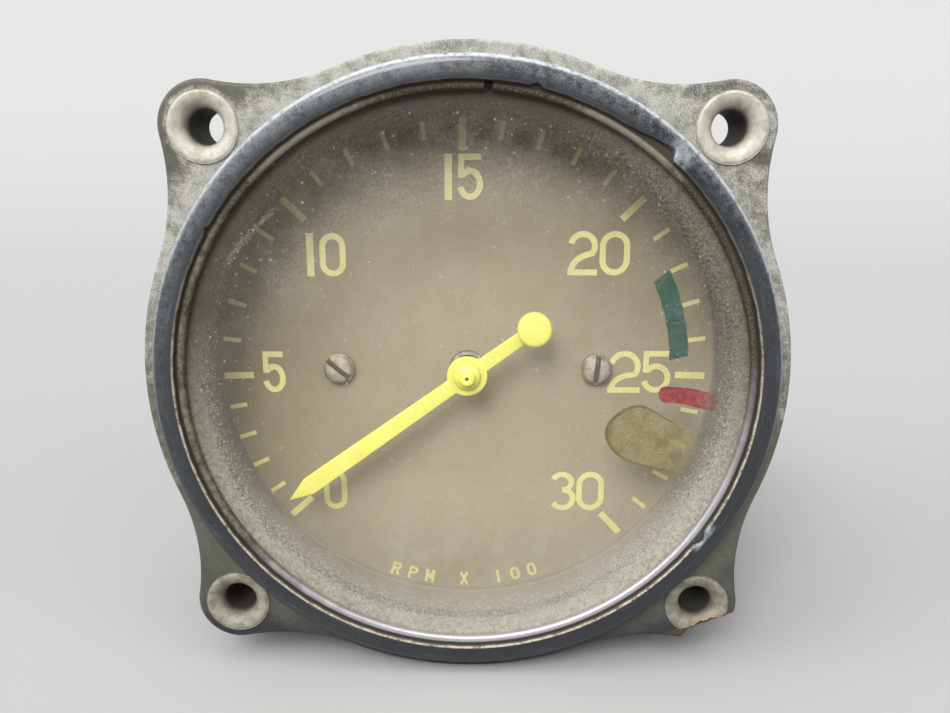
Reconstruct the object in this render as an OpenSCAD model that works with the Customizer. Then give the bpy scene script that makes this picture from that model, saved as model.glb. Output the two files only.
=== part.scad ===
// Panel tachometer with a magnetic drag movement, in millimetres.
// The face looks along -Y, the case reaches back along +Y and +Z is up.
// The origin is the centre of the bolt pattern on the panel face of the flange.
// Clock angles run clockwise from twelve, as seen from the front.

/* [Panel mounting] */
// Nominal diameter: that of the bezel ring, and of the panel hole behind it
nominal_d = 79.4; // [78.6:0.1:80.4]
// Gap round the case in the panel hole
panel_gap = 0.8; // [0.4:0.1:1.4]
// Bore of a mounting eyelet
eyelet_bore_d = 4.3; // [3.8:0.1:4.8]
// Diameter of an eyelet's rolled rim
eyelet_rim_d = 8.6; // [8:0.1:9.4]
// Wall of an eyelet's tube
eyelet_wall = 0.8; // [0.5:0.1:1]
// Height of an eyelet's rim over the ear
eyelet_proud = 0.3; // [0.2:0.1:0.6]
// Gap between an eyelet's rim and the bezel ring, which sets the bolt circle to 88.9
ear_gap = 0.45; // [0.3:0.05:1]

/* [Flange and bezel] */
// Reach of the round flange past the bezel ring
flange_over = 1.6; // [1:0.1:3]
// Thickness of the flange and its ears
flange_t = 9.2; // [8:0.1:11]
// Radius of an ear
ear_r = 5.5; // [5:0.1:6.5]
// Radius that blends an ear into the round flange
ear_fillet_r = 26; // [16:1:30]
// Width of the raised bezel ring, from its outside to its bore
bezel_w = 3; // [2.4:0.1:3.6]
// Height of the bezel ring at its inner lip
bezel_h = 2.5; // [2.2:0.1:4]
// Height of the bezel ring at its outer edge
bezel_edge_h = 1.3; // [0.8:0.1:1.4]
// Rounding of the bezel ring's outer edge
bezel_round = 0.7; // [0.3:0.1:0.8]
// Thickness of the lip in front of the snap ring
lip_t = 0.7; // [0.5:0.1:1]

/* [Glass] */
// Depth of the snap ring's groove
groove_depth = 0.8; // [0.5:0.1:1.1]
// Width of the snap ring's flat section
snap_ring_w = 1.8; // [1.4:0.1:2.2]
// Thickness of the snap ring
snap_ring_t = 1.1; // [0.8:0.1:1.5]
// Width of the snap ring's split
snap_gap = 1; // [0.6:0.1:4]
// Clock angle of the snap ring's split
snap_gap_angle = 4; // [0:1:359]
// Thickness of the cover glass
glass_t = 1.5; // [1.2:0.1:2.2]
// Thickness of the glass gasket
gasket_t = 0.5; // [0.3:0.1:1]

/* [Case] */
// Depth of the case behind the panel
case_l = 50; // [46:0.5:58]
// Width of the ledge behind the glass
ledge_w = 2.1; // [1.6:0.1:3]
// Moulding draft over the length of the case
case_draft = 0.4; // [0:0.1:0.6]
// Thickness of the rear wall
rear_wall = 4; // [3:0.1:6]
// Rounding of the rear corner
case_corner_r = 5; // [2:0.5:7]
// Height of the moulded seat for the drive housing
seat_h = 1; // [0.5:0.1:2]

/* [Dial] */
// Depth of the dial's face behind the flange's front
dial_depth = 7.1; // [6:0.1:9]
// Thickness of the dial plate
dial_t = 0.8; // [0.5:0.1:1.2]
// Gap round the dial in the case
dial_gap = 0.3; // [0.3:0.1:1]
// Thickness of the dial's turned-up rim
dial_rim_t = 0.5; // [0.3:0.1:0.8]
// Gap between the dial's rim and the glass gasket
dial_rim_gap = 0.3; // [0.2:0.1:1]
// Hole in the dial for the pointer staff
dial_hole_d = 5; // [4:0.1:8]
// Distance of each dial screw from the axis
dial_screw_x = 17.5; // [15:0.1:20]
// Head of a dial screw
dial_screw_head_d = 4.2; // [3.6:0.1:5]
// Height of a dial screw's head
dial_screw_head_h = 1.2; // [0.8:0.1:1.5]
// Shank of a dial screw
dial_screw_d = 2; // [1.6:0.1:2.4]

/* [Pointer] */
// Reach of the pointer's tip
pointer_reach = 30; // [26:0.1:31]
// Width of the pointer where its point begins
pointer_tip_w = 2.5; // [1.8:0.05:3.2]
// Length of the point
pointer_point = 3.4; // [2:0.1:5]
// Thickness of the pointer's sheet
pointer_t = 0.5; // [0.3:0.05:0.7]
// Diameter of the pointer's round middle
pointer_hub_d = 5.3; // [4.6:0.1:6.4]
// Width of the pointer at the end of its tail
tail_w = 1.7; // [1.2:0.1:2.2]
// Distance of the balance weight from the axis
tail_reach = 10.8; // [9:0.1:13]
// Diameter of the balance weight
weight_d = 4.5; // [3.6:0.1:5.4]
// Thickness of the balance weight
weight_t = 1.2; // [0.8:0.1:1.4]
// Height of the pointer's boss over its sheet
boss_h = 1.45; // [1.3:0.05:1.8]
// Gap between the boss and the glass
boss_gap = 0.45; // [0.35:0.05:0.8]
// Clock angle of the pointer at rest
rest_angle = -126; // [-135:1:-110]
// Swing of the pointer between its stops
sweep = 266; // [240:1:280]

/* [Movement frame] */
// Length of a dial post
post_h = 2.3; // [1.8:0.1:4]
// Thickness of the front plate
plate_t = 2; // [1.5:0.1:3]
// Circle that the pillars stand on
pillar_circle_d = 50; // [47:0.5:54]
// Diameter of a pillar
pillar_d = 5; // [4:0.1:6]
// Thickness of the base plate
base_t = 2.5; // [2:0.1:4]

/* [Pointer movement] */
// Diameter of the pointer staff at its seats
staff_d = 2.4; // [2:0.1:3]
// Diameter of the staff's front journal
journal_d = 1.6; // [1.3:0.05:1.8]
// Diameter of the staff's rear pivot
pivot_d = 0.8; // [0.6:0.05:1]
// Height of the hairspring's strip
spring_h = 1.5; // [1:0.1:2]
// Thickness of the hairspring's strip
spring_strip = 0.25; // [0.15:0.05:0.4]
// Gap between the hairspring's turns
coil_gap = 0.9; // [0.6:0.05:1]
// Turns of the hairspring
spring_turns = 5; // [3:1:5]
// Gap between the front plate and the hairspring
spring_gap = 3; // [2:0.1:4]
// Diameter of the hairspring's collet
collet_d = 5; // [4.4:0.1:5.6]
// Distance of the stop pins from the axis
stop_reach = 11; // [10.5:0.1:13]
// Diameter of a stop pin
stop_pin_d = 1.4; // [1:0.1:2]
// Width of the stop arm
stop_arm_w = 1.6; // [1.2:0.1:2.4]
// Thickness of the stop arm
stop_arm_t = 1.2; // [0.8:0.1:2]

/* [Drag cup and magnet] */
// Outer diameter of the drag cup
cup_d = 30; // [28:0.1:34]
// Wall of the drag cup
cup_wall = 0.8; // [0.5:0.1:1.2]
// Running gap on each side of the drag cup's wall
cup_run = 0.75; // [0.5:0.05:1.2]
// Length of the magnet
magnet_l = 9; // [7:0.1:12]
// Wall of the yoke round the drag cup
yoke_wall = 2.8; // [2:0.1:4]
// Thickness of the yoke's web
yoke_t = 2; // [1.5:0.1:3]

/* [Drive] */
// Diameter of the drive shaft's journals
shaft_d = 9; // [8.4:0.1:10]
// Diameter of the drive shaft's nose
nose_d = 6; // [5:0.1:6.6]
// Square socket across its flats
socket_af = 4.8; // [4.6:0.05:5]
// Depth of the square socket
socket_l = 13; // [8:0.5:16]
// Wall of the bushes
bush_wall = 1.66; // [1.2:0.02:2]
// Length of the front bush behind its collar
front_bush_l = 7; // [5:0.1:9]
// Length of the rear bush in front of its collar
rear_bush_l = 6; // [5:0.1:8]
// Wall of the housing's spigot
spigot_wall = 2.8; // [2:0.1:4]
// Thread of the drive nipple, over its crests
nipple_d = 22.22; // [22:0.01:22.4]
// Length of the drive nipple
nipple_l = 12.5; // [11:0.1:16]
// Bore that takes the drive cable's ferrule
ferrule_d = 15.6; // [15.4:0.1:16]
// Depth of the ferrule bore
ferrule_l = 5.8; // [5:0.1:7]
// Thickness of the housing's flange
housing_flange_t = 3; // [2:0.1:5]
// Circle that the housing screws lie on
housing_screw_circle_d = 28; // [27:0.1:30]
// Shank of a housing screw
housing_screw_d = 3; // [2.5:0.1:3.5]
// Thickness of the housing gasket
housing_gasket_t = 0.5; // [0.3:0.1:1]

/* [Clearances] */
// Gap between a fixed piece and the hole that it passes through
fit_gap = 0.05; // [0.02:0.01:0.1]
// Running clearance of the drive shaft in its bushes
shaft_run = 0.04; // [0.02:0.01:0.08]
// Running clearance of the staff in its jewels
staff_run = 0.03; // [0.02:0.01:0.05]
// End play of the drive shaft
end_play = 0.3; // [0.2:0.05:0.5]
// Gap left at each pointer stop
stop_gap = 0.2; // [0.1:0.05:0.4]
// Gap between glass and lip
glass_gap = 0.2; // [0.1:0.05:0.4]

/* [Hidden] */
$fn = 72;
cut = 1;

// Colours
phenolic = [0.16, 0.17, 0.20];
nickel = [0.72, 0.69, 0.62];
steel = [0.55, 0.56, 0.58];
brass = [0.76, 0.62, 0.32];
aluminium = [0.78, 0.79, 0.80];
cork = [0.45, 0.33, 0.22];
dial_brown = [0.40, 0.33, 0.24];
yellow = [0.93, 0.84, 0.16];
ruby = [0.70, 0.10, 0.22];
blue_steel = [0.25, 0.30, 0.45];
magnet_grey = [0.35, 0.35, 0.37];

// Front stack, from the lip back to the pointer
bezel_r = nominal_d / 2;
lip_r = bezel_r - bezel_w;
lip_round = lip_t / 2;
y_face = -flange_t;
y_lip = y_face - bezel_h;
y_groove = y_lip + lip_t;
y_glass = y_groove + snap_ring_t;
y_glass_back = y_glass + glass_t;
y_ledge = y_glass_back + gasket_t;
groove_r = lip_r + groove_depth;
snap_out_r = groove_r - fit_gap;
snap_in_r = snap_out_r - snap_ring_w;
snap_nose_r = snap_ring_t * 0.45;
glass_r = lip_r - glass_gap;
y_boss = y_glass_back + boss_gap;
y_pointer = y_boss + boss_h;
y_dial = y_face + dial_depth;
y_dial_back = y_dial + dial_t;
dial_bend_r = 0.4;

// Eyelets
eyelet_bore_r = eyelet_bore_d / 2;
eyelet_r = eyelet_bore_r + eyelet_wall;
eyelet_rim_r = eyelet_rim_d / 2;
eyelet_edge = 0.3;
eyelet_mouth = eyelet_rim_r - eyelet_edge - eyelet_bore_r;
y_eyelet = y_face - eyelet_proud;
eyelet_sink_r = eyelet_rim_r - eyelet_edge;
eyelet_sink_l = eyelet_mouth + eyelet_wall;

// Flange and ears
flange_r = bezel_r + flange_over;
ear_reach = bezel_r + eyelet_rim_r + ear_gap;
ear_turns = [45, 135, 225, 315];
blend_reach = flange_r + ear_fillet_r;
blend_turn = acos((pow(blend_reach, 2) + pow(ear_reach, 2) - pow(ear_r + ear_fillet_r, 2))
    / (2 * blend_reach * ear_reach));
blend_end = atan2(blend_reach * sin(blend_turn), ear_reach - blend_reach * cos(blend_turn));

// Pointer and its movement
staff_r = staff_d / 2;
journal_r = journal_d / 2;
pivot_r = pivot_d / 2;
seat_r = 0.6;
boss_step_r = 0.95;
boss_foot_r = 1.45;
boss_neck_r = 1.1;
boss_collar_r = 1.6;
boss_collar_l = 1.6;
boss_recess = 0.3;
weight_rivet_r = 0.6;
weight_peen_t = 0.3;
weight_bevel = 0.2;
journal_over = 0.5;
post_wall = 1.6;
post_spigot_wall = 0.9;
thread_end = 0.5;
post_r = dial_screw_d / 2 + post_wall;
spigot_post_r = dial_screw_d / 2 + post_spigot_wall;
post_thread_l = post_h + plate_t - thread_end;
dial_screw_l = dial_t + post_thread_l - thread_end;
plate_edge = 1.5;
plate_r = (pillar_circle_d + pillar_d) / 2 + plate_edge;
pillar_r = pillar_d / 2;
pillar_turns = [0, 120, 240];
pillar_step = 1;
pillar_spigot_r = pillar_r - pillar_step;
pillar_thread_wall = 1.3;
plate_screw_r = pillar_r - pillar_thread_wall;
plate_screw_l = 7;
plate_screw_short = 1;
plate_head_step = 0.3;
plate_screw_head_r = pillar_r - plate_head_step;
plate_screw_head_h = 0.9;
jewel_r = 2;
y_plate = y_dial_back + post_h;
y_plate_back = y_plate + plate_t;
y_spring = y_plate_back + spring_gap;
y_spring_back = y_spring + spring_h;
collet_over = 0.4;
collet_r = collet_d / 2;
collet_gap = 0.1;
spring_pitch = spring_strip + coil_gap;
spring_in_r = collet_r + collet_gap + spring_strip / 2;
spring_out_r = spring_in_r + spring_pitch * spring_turns;
spring_steps = 24 * spring_turns;
stud_r = 0.9;
stud_foot_r = 0.7;
slit_gap = 0.1;
arm_gap = 2;
y_arm = y_spring_back + arm_gap;
y_arm_back = y_arm + stop_arm_t;
arm_hub_wall = 1.2;
arm_hub_r = staff_r + arm_hub_wall;
arm_over = 1.3;
stop_pin_r = stop_pin_d / 2;
stop_turn = asin((stop_arm_w / 2 + stop_pin_r + stop_gap) / stop_reach);
stop_over = 0.4;

// Drag cup, magnet and yoke
cup_gap = 1.3;
cup_r = cup_d / 2;
cup_hub_wall = 1.4;
cup_hub_r = staff_r + cup_hub_wall;
cup_hub_front = 0.6;
cup_hub_back = 1;
nose_gap = 1.8;
web_gap = 1.9;
cup_end_gap = 1.5;
y_cup = y_arm_back + cup_gap;
y_nose = y_cup + cup_wall + nose_gap;
y_magnet_back = y_nose + magnet_l;
y_web = y_magnet_back + web_gap;
y_cup_end = y_web - cup_end_gap;
y_yoke_back = y_web + yoke_t;
magnet_r = cup_r - cup_wall - cup_run;
yoke_in_r = cup_r + cup_run;
yoke_r = yoke_in_r + yoke_wall;
nose_r = nose_d / 2;
hub_wall = 2;
hub_r = nose_r + hub_wall;
hub_flange_w = 2.2;
hub_flange_r = hub_r + hub_flange_w;
hub_flange_t = 2;
hub_tail_l = 3;
pin_r = 0.8;
y_hub_back = y_yoke_back + hub_flange_t + hub_tail_l;
y_hub_pin = y_hub_back - hub_tail_l / 2;
rear_jewel_r = 1.6;
rear_jewel_l = 2.5;
rear_jewel_sink = 0.3;
pivot_reach = 0.2;
shoulder_short = 0.6;
y_staff_shoulder = y_nose - shoulder_short;
y_rear_jewel = y_nose + rear_jewel_sink;
y_pivot_end = y_rear_jewel + rear_jewel_l - pivot_reach;
pocket_end = 0.8;
pocket_l = rear_jewel_sink + rear_jewel_l + pocket_end;

// Drive, from the hub back to the nipple's end
shaft_r = shaft_d / 2;
collar_wall = 2.5;
collar_r = shaft_r + collar_wall;
collar_l = 3;
shoulder_gap = 0.5;
collar_shoulder = 0.2;
bush_r = shaft_r + shaft_run + bush_wall;
bush_in_r = shaft_r + shaft_run;
bush_flange_w = 1.2;
bush_flange_r = bush_r + bush_flange_w;
bush_flange_t = 1;
y_shoulder = y_hub_back + shoulder_gap;
y_collar = y_shoulder + collar_shoulder;
y_collar_back = y_collar + collar_l;
y_spigot = y_collar_back + end_play + bush_flange_t;
spigot_r = bush_r + spigot_wall;
spigot_gap = 0.3;
y_back = case_l;
y_wall = y_back - rear_wall;
y_base = y_wall - base_t;
y_seat = y_back + seat_h;
y_housing = y_seat + housing_gasket_t;
y_flange_back = y_housing + housing_flange_t;
y_end = y_flange_back + nipple_l;
nipple_r = nipple_d / 2;
relief_l = 2;
relief_t = 0.8;
relief_r = nipple_r - relief_t;
nipple_bevel = 0.8;
ferrule_r = ferrule_d / 2;
y_ferrule = y_end - ferrule_l;
clip_t = 0.8;
clip_groove_gap = 0.05;
clip_groove_t = 0.6;
clip_groove_r = shaft_r - clip_groove_t;
clip_over = 1.6;
clip_r = shaft_r + clip_over;
clip_mouth = 3;
shaft_end_gap = 0.3;
shaft_tail = 0.8;
y_shaft_end = y_ferrule - shaft_end_gap;
y_clip = y_shaft_end - shaft_tail - clip_t;
y_recess = y_clip - end_play - bush_flange_t;
recess_step = 0.3;
recess_r = ferrule_r - recess_step;
housing_screw_r = housing_screw_d / 2;
housing_screw_reach = housing_screw_circle_d / 2;
housing_screw_turns = [45, 135, 225, 315];
housing_screw_head_w = 1.1;
housing_screw_head_r = housing_screw_r + housing_screw_head_w;
housing_screw_head_h = 1.8;
housing_screw_short = 0.3;
housing_edge = 0.5;
housing_flange_r = housing_screw_reach + housing_screw_head_r + housing_edge;
seat_edge = 1.5;
seat_r_out = housing_flange_r + seat_edge;

// Case
case_r = nominal_d / 2 - panel_gap;
bore_r = lip_r - ledge_w;
dial_r = bore_r - dial_gap;

// Points of an arc about c, from angle a0 to a1
function arc(c, r, a0, a1, n = 6) =
    [for (i = [0:n]) let (a = a0 + (a1 - a0) * i / n) c + r * [cos(a), sin(a)]];

// Point at radius r and clock angle a, in the plane of the dial
function clock(r, a) = [r * sin(a), r * cos(a)];

// Turned piece from a profile of [radius, y] points
module turned(profile) {
    rotate([-90, 0, 0]) rotate_extrude() polygon(profile);
}

// Round bar or hole along Y
module rod(y0, y1, r) {
    translate([0, y0, 0]) rotate([-90, 0, 0]) cylinder(h = y1 - y0, r = r);
}

// Flat piece from y0 to y1, drawn with the sketch's x as X and its y as Z
module slab(y0, y1) {
    translate([0, y1, 0]) rotate([90, 0, 0]) linear_extrude(y1 - y0) children();
}

// Copies at radius r and at each of the clock angles in turns
module around(r, turns) {
    for (a = turns) translate([r * sin(a), 0, r * cos(a)]) children();
}

// Slotted screw whose head sits on the face at y0 and points along -Y
module slotted_screw(y0, head_r, head_h, shank_r, shank_l, slot_turn) {
    crown = head_h * 0.45;
    slot_w = head_r / 3;
    slot_d = head_h * 0.5;
    difference() {
        turned(concat([[0, y0 + shank_l], [shank_r, y0 + shank_l], [shank_r, y0], [head_r, y0]],
            [for (i = [0:6]) [head_r * cos(15 * i), y0 - head_h + crown - crown * sin(15 * i)]]));
        rotate([0, slot_turn, 0])
            slab(y0 - head_h - cut, y0 - head_h + slot_d) square([slot_w, 3 * head_r], center = true);
    }
}

// Outline of the flange: a disc with four ears and their concave blends, as one row of points
function inner(points) = [for (i = [1:len(points) - 2]) points[i]];
function flange_points() = let (low = blend_reach * [cos(blend_turn), -sin(blend_turn)],
    high = blend_reach * [cos(blend_turn), sin(blend_turn)])
    [for (a = ear_turns, p = concat(inner(arc(low, ear_fillet_r, 180 - blend_turn, blend_end, 8)),
        arc([ear_reach, 0], ear_r, blend_end - 180, 180 - blend_end, 14),
        inner(arc(high, ear_fillet_r, -blend_end, blend_turn - 180, 8)),
        arc([0, 0], flange_r, blend_turn, 90 - blend_turn, 12)))
        [p.x * cos(a) - p.y * sin(a), p.x * sin(a) + p.y * cos(a)]];

// Moulded case: flange with ears, bezel ring, barrel and rear wall in one piece
module case_shell() {
    rear_r = case_r - case_draft;
    wall_r = (lip_r + case_r) / 2;
    hole_r = eyelet_r + fit_gap;
    lead = eyelet_proud / 2;
    crown_turn = 285;
    lead_r = eyelet_sink_r + fit_gap + lead * (eyelet_sink_r - eyelet_r) / eyelet_sink_l;
    color(phenolic) difference() {
        union() {
            turned(concat(arc([lip_r + lip_round, y_lip + lip_round], lip_round, 180, 270),
                arc([bezel_r - bezel_round, y_face - bezel_edge_h], bezel_round, crown_turn, 360),
                [[bezel_r, y_face + cut], [case_r, -cut]],
                arc([rear_r - case_corner_r, y_back - case_corner_r], case_corner_r, 0, 90),
                [[seat_r_out, y_back], [seat_r_out, y_seat], [spigot_r + spigot_gap, y_seat],
                [spigot_r + spigot_gap, y_wall], [bore_r - case_draft, y_wall], [bore_r, y_ledge],
                [lip_r, y_ledge], [lip_r, y_glass], [groove_r, y_glass], [groove_r, y_groove],
                [lip_r, y_groove]]));
            difference() {
                slab(y_face, 0) polygon(flange_points());
                rod(y_face - cut, cut, wall_r);
            }
        }
        around(housing_screw_reach, housing_screw_turns)
            rod(y_wall - cut, y_seat + cut, housing_screw_r + fit_gap);
        around(ear_reach, ear_turns) turned([[0, y_face - lead], [lead_r, y_face - lead],
            [hole_r, y_face + eyelet_sink_l], [hole_r, cut], [0, cut]]);
    }
}

// Four metal eyelets with trumpet mouths, rolled over the ears
module mounting_eyelets() {
    mouth_c = [eyelet_bore_r + eyelet_mouth, y_eyelet + eyelet_mouth];
    color(nickel) around(ear_reach, ear_turns)
        turned(concat([[eyelet_r, 0], [eyelet_bore_r, 0]],
            arc(mouth_c, eyelet_mouth, 180, 270, 8),
            [[eyelet_rim_r, y_face - eyelet_proud / 3], [eyelet_rim_r, y_face],
            [eyelet_sink_r, y_face], [eyelet_r, y_face + eyelet_sink_l]]));
}

// Split snap ring with a round nose, which holds the glass
module snap_ring() {
    nose_r = snap_in_r + snap_nose_r;
    color(steel) difference() {
        turned(concat(arc([nose_r, y_glass - snap_nose_r], snap_nose_r, 90, 180),
            arc([nose_r, y_groove + snap_nose_r], snap_nose_r, 180, 270),
            [[snap_out_r, y_groove], [snap_out_r, y_glass]]));
        rotate([0, snap_gap_angle, 0]) slab(y_groove - cut, y_glass + cut)
            translate([-snap_gap / 2, 0]) square([snap_gap, groove_r + cut]);
    }
}

module cover_glass() {
    color([0.85, 0.90, 0.90, 0.3]) rod(y_glass, y_glass_back, glass_r);
}

module glass_gasket() {
    color(cork) turned([[bore_r, y_glass_back], [glass_r, y_glass_back], [glass_r, y_ledge],
        [bore_r, y_ledge]]);
}

// Dial: a pan drawn from sheet, whose rim reaches up to the glass gasket
module dial_plate() {
    rim_in_r = dial_r - dial_rim_t;
    y_rim = y_ledge + dial_rim_gap;
    color(dial_brown) difference() {
        turned(concat([[0, y_dial_back]], arc([dial_r - dial_t, y_dial], dial_t, 90, 0),
            [[dial_r, y_rim], [rim_in_r, y_rim]],
            arc([rim_in_r - dial_bend_r, y_dial - dial_bend_r], dial_bend_r, 0, 90),
            [[0, y_dial]]));
        rod(y_dial - cut, y_dial_back + cut, dial_hole_d / 2);
        around(dial_screw_x, [-90, 90])
            rod(y_dial - cut, y_dial_back + cut, dial_screw_d / 2 + fit_gap);
    }
}

module dial_screws() {
    slot_turns = [-50, 5];
    sides = [-90, 90];
    color(nickel) for (i = [0, 1]) around(dial_screw_x, [sides[i]])
        slotted_screw(y_dial, dial_screw_head_d / 2, dial_screw_head_h, dial_screw_d / 2,
            dial_screw_l, slot_turns[i]);
}

// Two posts riveted into the front plate, which carry the dial
module dial_posts() {
    color(brass) around(dial_screw_x, [-90, 90]) difference() {
        turned([[0, y_dial_back], [post_r, y_dial_back], [post_r, y_plate], [spigot_post_r, y_plate],
            [spigot_post_r, y_plate_back], [0, y_plate_back]]);
        rod(y_dial_back - cut, y_dial_back + post_thread_l, dial_screw_d / 2 + fit_gap);
    }
}

module front_plate() {
    color(brass) difference() {
        rod(y_plate, y_plate_back, plate_r);
        rod(y_plate - cut, y_plate_back + cut, jewel_r + fit_gap);
        around(pillar_circle_d / 2, pillar_turns)
            rod(y_plate - cut, y_plate_back + cut, plate_screw_r + fit_gap);
        around(dial_screw_x, [-90, 90])
            rod(y_plate - cut, y_plate_back + cut, spigot_post_r + fit_gap);
        around(stop_reach, [rest_angle - stop_turn, rest_angle + sweep + stop_turn])
            rod(y_plate - cut, y_plate_back + cut, stop_pin_r + fit_gap);
        around(spring_out_r, [0]) rod(y_plate - cut, y_plate_back + cut, stud_foot_r + fit_gap);
    }
}

module plate_screws() {
    color(steel) around(pillar_circle_d / 2, pillar_turns)
        slotted_screw(y_plate, plate_screw_head_r, plate_screw_head_h, plate_screw_r, plate_screw_l, 20);
}

// Three pillars between the plates, riveted into the base plate
module pillars() {
    color(brass) around(pillar_circle_d / 2, pillar_turns) difference() {
        turned([[0, y_plate_back], [pillar_r, y_plate_back], [pillar_r, y_base],
            [pillar_spigot_r, y_base], [pillar_spigot_r, y_wall], [0, y_wall]]);
        rod(y_plate_back - cut, y_plate + plate_screw_l + plate_screw_short, plate_screw_r + fit_gap);
    }
}

module base_plate() {
    color(brass) difference() {
        rod(y_base, y_wall, plate_r);
        rod(y_base - cut, y_wall + cut, spigot_r + spigot_gap);
        around(pillar_circle_d / 2, pillar_turns)
            rod(y_base - cut, y_wall + cut, pillar_spigot_r + fit_gap);
        around(housing_screw_reach, housing_screw_turns)
            rod(y_base - cut, y_wall + cut, housing_screw_r + fit_gap);
    }
}

// Drive housing: spigot, screwed flange and the nipple for the cable's nut
module drive_housing() {
    color(aluminium) difference() {
        turned([[bush_r + fit_gap, y_spigot], [spigot_r, y_spigot], [spigot_r, y_housing],
            [housing_flange_r, y_housing], [housing_flange_r, y_flange_back],
            [relief_r, y_flange_back], [relief_r, y_flange_back + relief_l],
            [nipple_r, y_flange_back + relief_l], [nipple_r, y_end - nipple_bevel],
            [nipple_r - nipple_bevel, y_end], [ferrule_r, y_end], [ferrule_r, y_ferrule],
            [recess_r, y_ferrule], [recess_r, y_recess], [bush_r + fit_gap, y_recess]]);
        around(housing_screw_reach, housing_screw_turns)
            rod(y_housing - cut, y_flange_back + cut, housing_screw_r + fit_gap);
    }
}

module housing_gasket() {
    color(cork) difference() {
        rod(y_seat, y_housing, housing_flange_r);
        rod(y_seat - cut, y_housing + cut, spigot_r + spigot_gap);
        around(housing_screw_reach, housing_screw_turns)
            rod(y_seat - cut, y_housing + cut, housing_screw_r + fit_gap);
    }
}

// Four screws from the back, through housing, gasket and wall into the base plate
module housing_screws() {
    color(steel) around(housing_screw_reach, housing_screw_turns)
        translate([0, y_flange_back, 0]) rotate([0, 0, 180])
            slotted_screw(0, housing_screw_head_r, housing_screw_head_h, housing_screw_r,
                y_flange_back - y_base - housing_screw_short, 30);
}

module front_bush() {
    y_rear = y_spigot + front_bush_l;
    y_front = y_spigot - bush_flange_t;
    color(brass) turned([[bush_in_r, y_front], [bush_flange_r, y_front], [bush_flange_r, y_spigot],
        [bush_r, y_spigot], [bush_r, y_rear], [bush_in_r, y_rear]]);
}

module rear_bush() {
    y_front = y_recess - rear_bush_l;
    y_rear = y_recess + bush_flange_t;
    color(brass) turned([[bush_in_r, y_front], [bush_r, y_front], [bush_r, y_recess],
        [bush_flange_r, y_recess], [bush_flange_r, y_rear], [bush_in_r, y_rear]]);
}

module front_jewel() {
    color(ruby) difference() {
        rod(y_plate, y_plate_back, jewel_r);
        rod(y_plate - cut, y_plate_back + cut, journal_r + staff_run);
    }
}

// Spiral hairspring, one flat strip wound out from the collet to the stud
module hairspring() {
    function edge(side) = [for (i = [0:spring_steps]) let (t = spring_turns * i / spring_steps)
        clock(spring_in_r + spring_pitch * t + side * spring_strip / 2, 360 * t)];
    color(blue_steel) slab(y_spring, y_spring_back)
        polygon(concat(edge(1), [for (i = [spring_steps:-1:0]) edge(-1)[i]]));
}

// Slit post that holds the hairspring's outer end
module hairspring_stud() {
    slit = spring_strip + 2 * slit_gap;
    color(steel) around(spring_out_r, [0]) difference() {
        turned([[0, y_plate], [stud_foot_r, y_plate], [stud_foot_r, y_plate_back],
            [stud_r, y_plate_back], [stud_r, y_spring_back + collet_over],
            [0, y_spring_back + collet_over]]);
        slab(y_spring - slit_gap, y_spring_back + collet_over + cut)
            square([4 * stud_r, slit], center = true);
    }
}

module stop_pins() {
    color(steel) around(stop_reach, [rest_angle - stop_turn, rest_angle + sweep + stop_turn])
        rod(y_plate, y_arm_back + stop_over, stop_pin_r);
}

// Drive shaft: nose for the magnet, journals, clip groove and square socket
module drive_shaft() {
    color(steel) difference() {
        turned([[0, y_nose], [nose_r, y_nose], [nose_r, y_shoulder], [shaft_r, y_shoulder],
            [shaft_r, y_clip - clip_groove_gap], [clip_groove_r, y_clip - clip_groove_gap],
            [clip_groove_r, y_clip + clip_t + clip_groove_gap],
            [shaft_r, y_clip + clip_t + clip_groove_gap], [shaft_r, y_shaft_end], [0, y_shaft_end]]);
        slab(y_shaft_end - socket_l, y_shaft_end + cut) square(socket_af, center = true);
        rod(y_nose - cut, y_nose + pocket_l, rear_jewel_r + fit_gap);
        cross_pin(y_hub_pin, nose_r + cut, pin_r + fit_gap);
        cross_pin(y_collar + collar_l / 2, shaft_r + cut, pin_r + fit_gap);
    }
}

// Bar of half length l across the axis
module cross_pin(y, l, r) {
    translate([0, y, 0]) cylinder(h = 2 * l, r = r, center = true);
}

// Open retaining ring in the shaft's rear groove
module retaining_ring() {
    color(steel) difference() {
        rod(y_clip, y_clip + clip_t, clip_r);
        rod(y_clip - cut, y_clip + clip_t + cut, clip_groove_r + clip_groove_gap);
        slab(y_clip - cut, y_clip + clip_t + cut)
            translate([-clip_mouth / 2, 0]) square([clip_mouth, clip_r + cut]);
    }
}

module thrust_collar() {
    color(steel) difference() {
        rod(y_collar, y_collar_back, collar_r);
        rod(y_collar - cut, y_collar_back + cut, shaft_r + fit_gap);
        cross_pin(y_collar + collar_l / 2, collar_r + cut, pin_r + fit_gap);
    }
}

module collar_pin() {
    color(steel) cross_pin(y_collar + collar_l / 2, collar_r - fit_gap, pin_r);
}

// Brass hub that carries magnet and yoke on the shaft's nose
module magnet_hub() {
    color(brass) difference() {
        turned([[nose_r + fit_gap, y_nose], [hub_r, y_nose], [hub_r, y_yoke_back],
            [hub_flange_r, y_yoke_back], [hub_flange_r, y_yoke_back + hub_flange_t],
            [hub_r, y_yoke_back + hub_flange_t], [hub_r, y_hub_back], [nose_r + fit_gap, y_hub_back]]);
        cross_pin(y_hub_pin, hub_r + cut, pin_r + fit_gap);
    }
}

module hub_pin() {
    color(steel) cross_pin(y_hub_pin, hub_r - fit_gap, pin_r);
}

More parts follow.
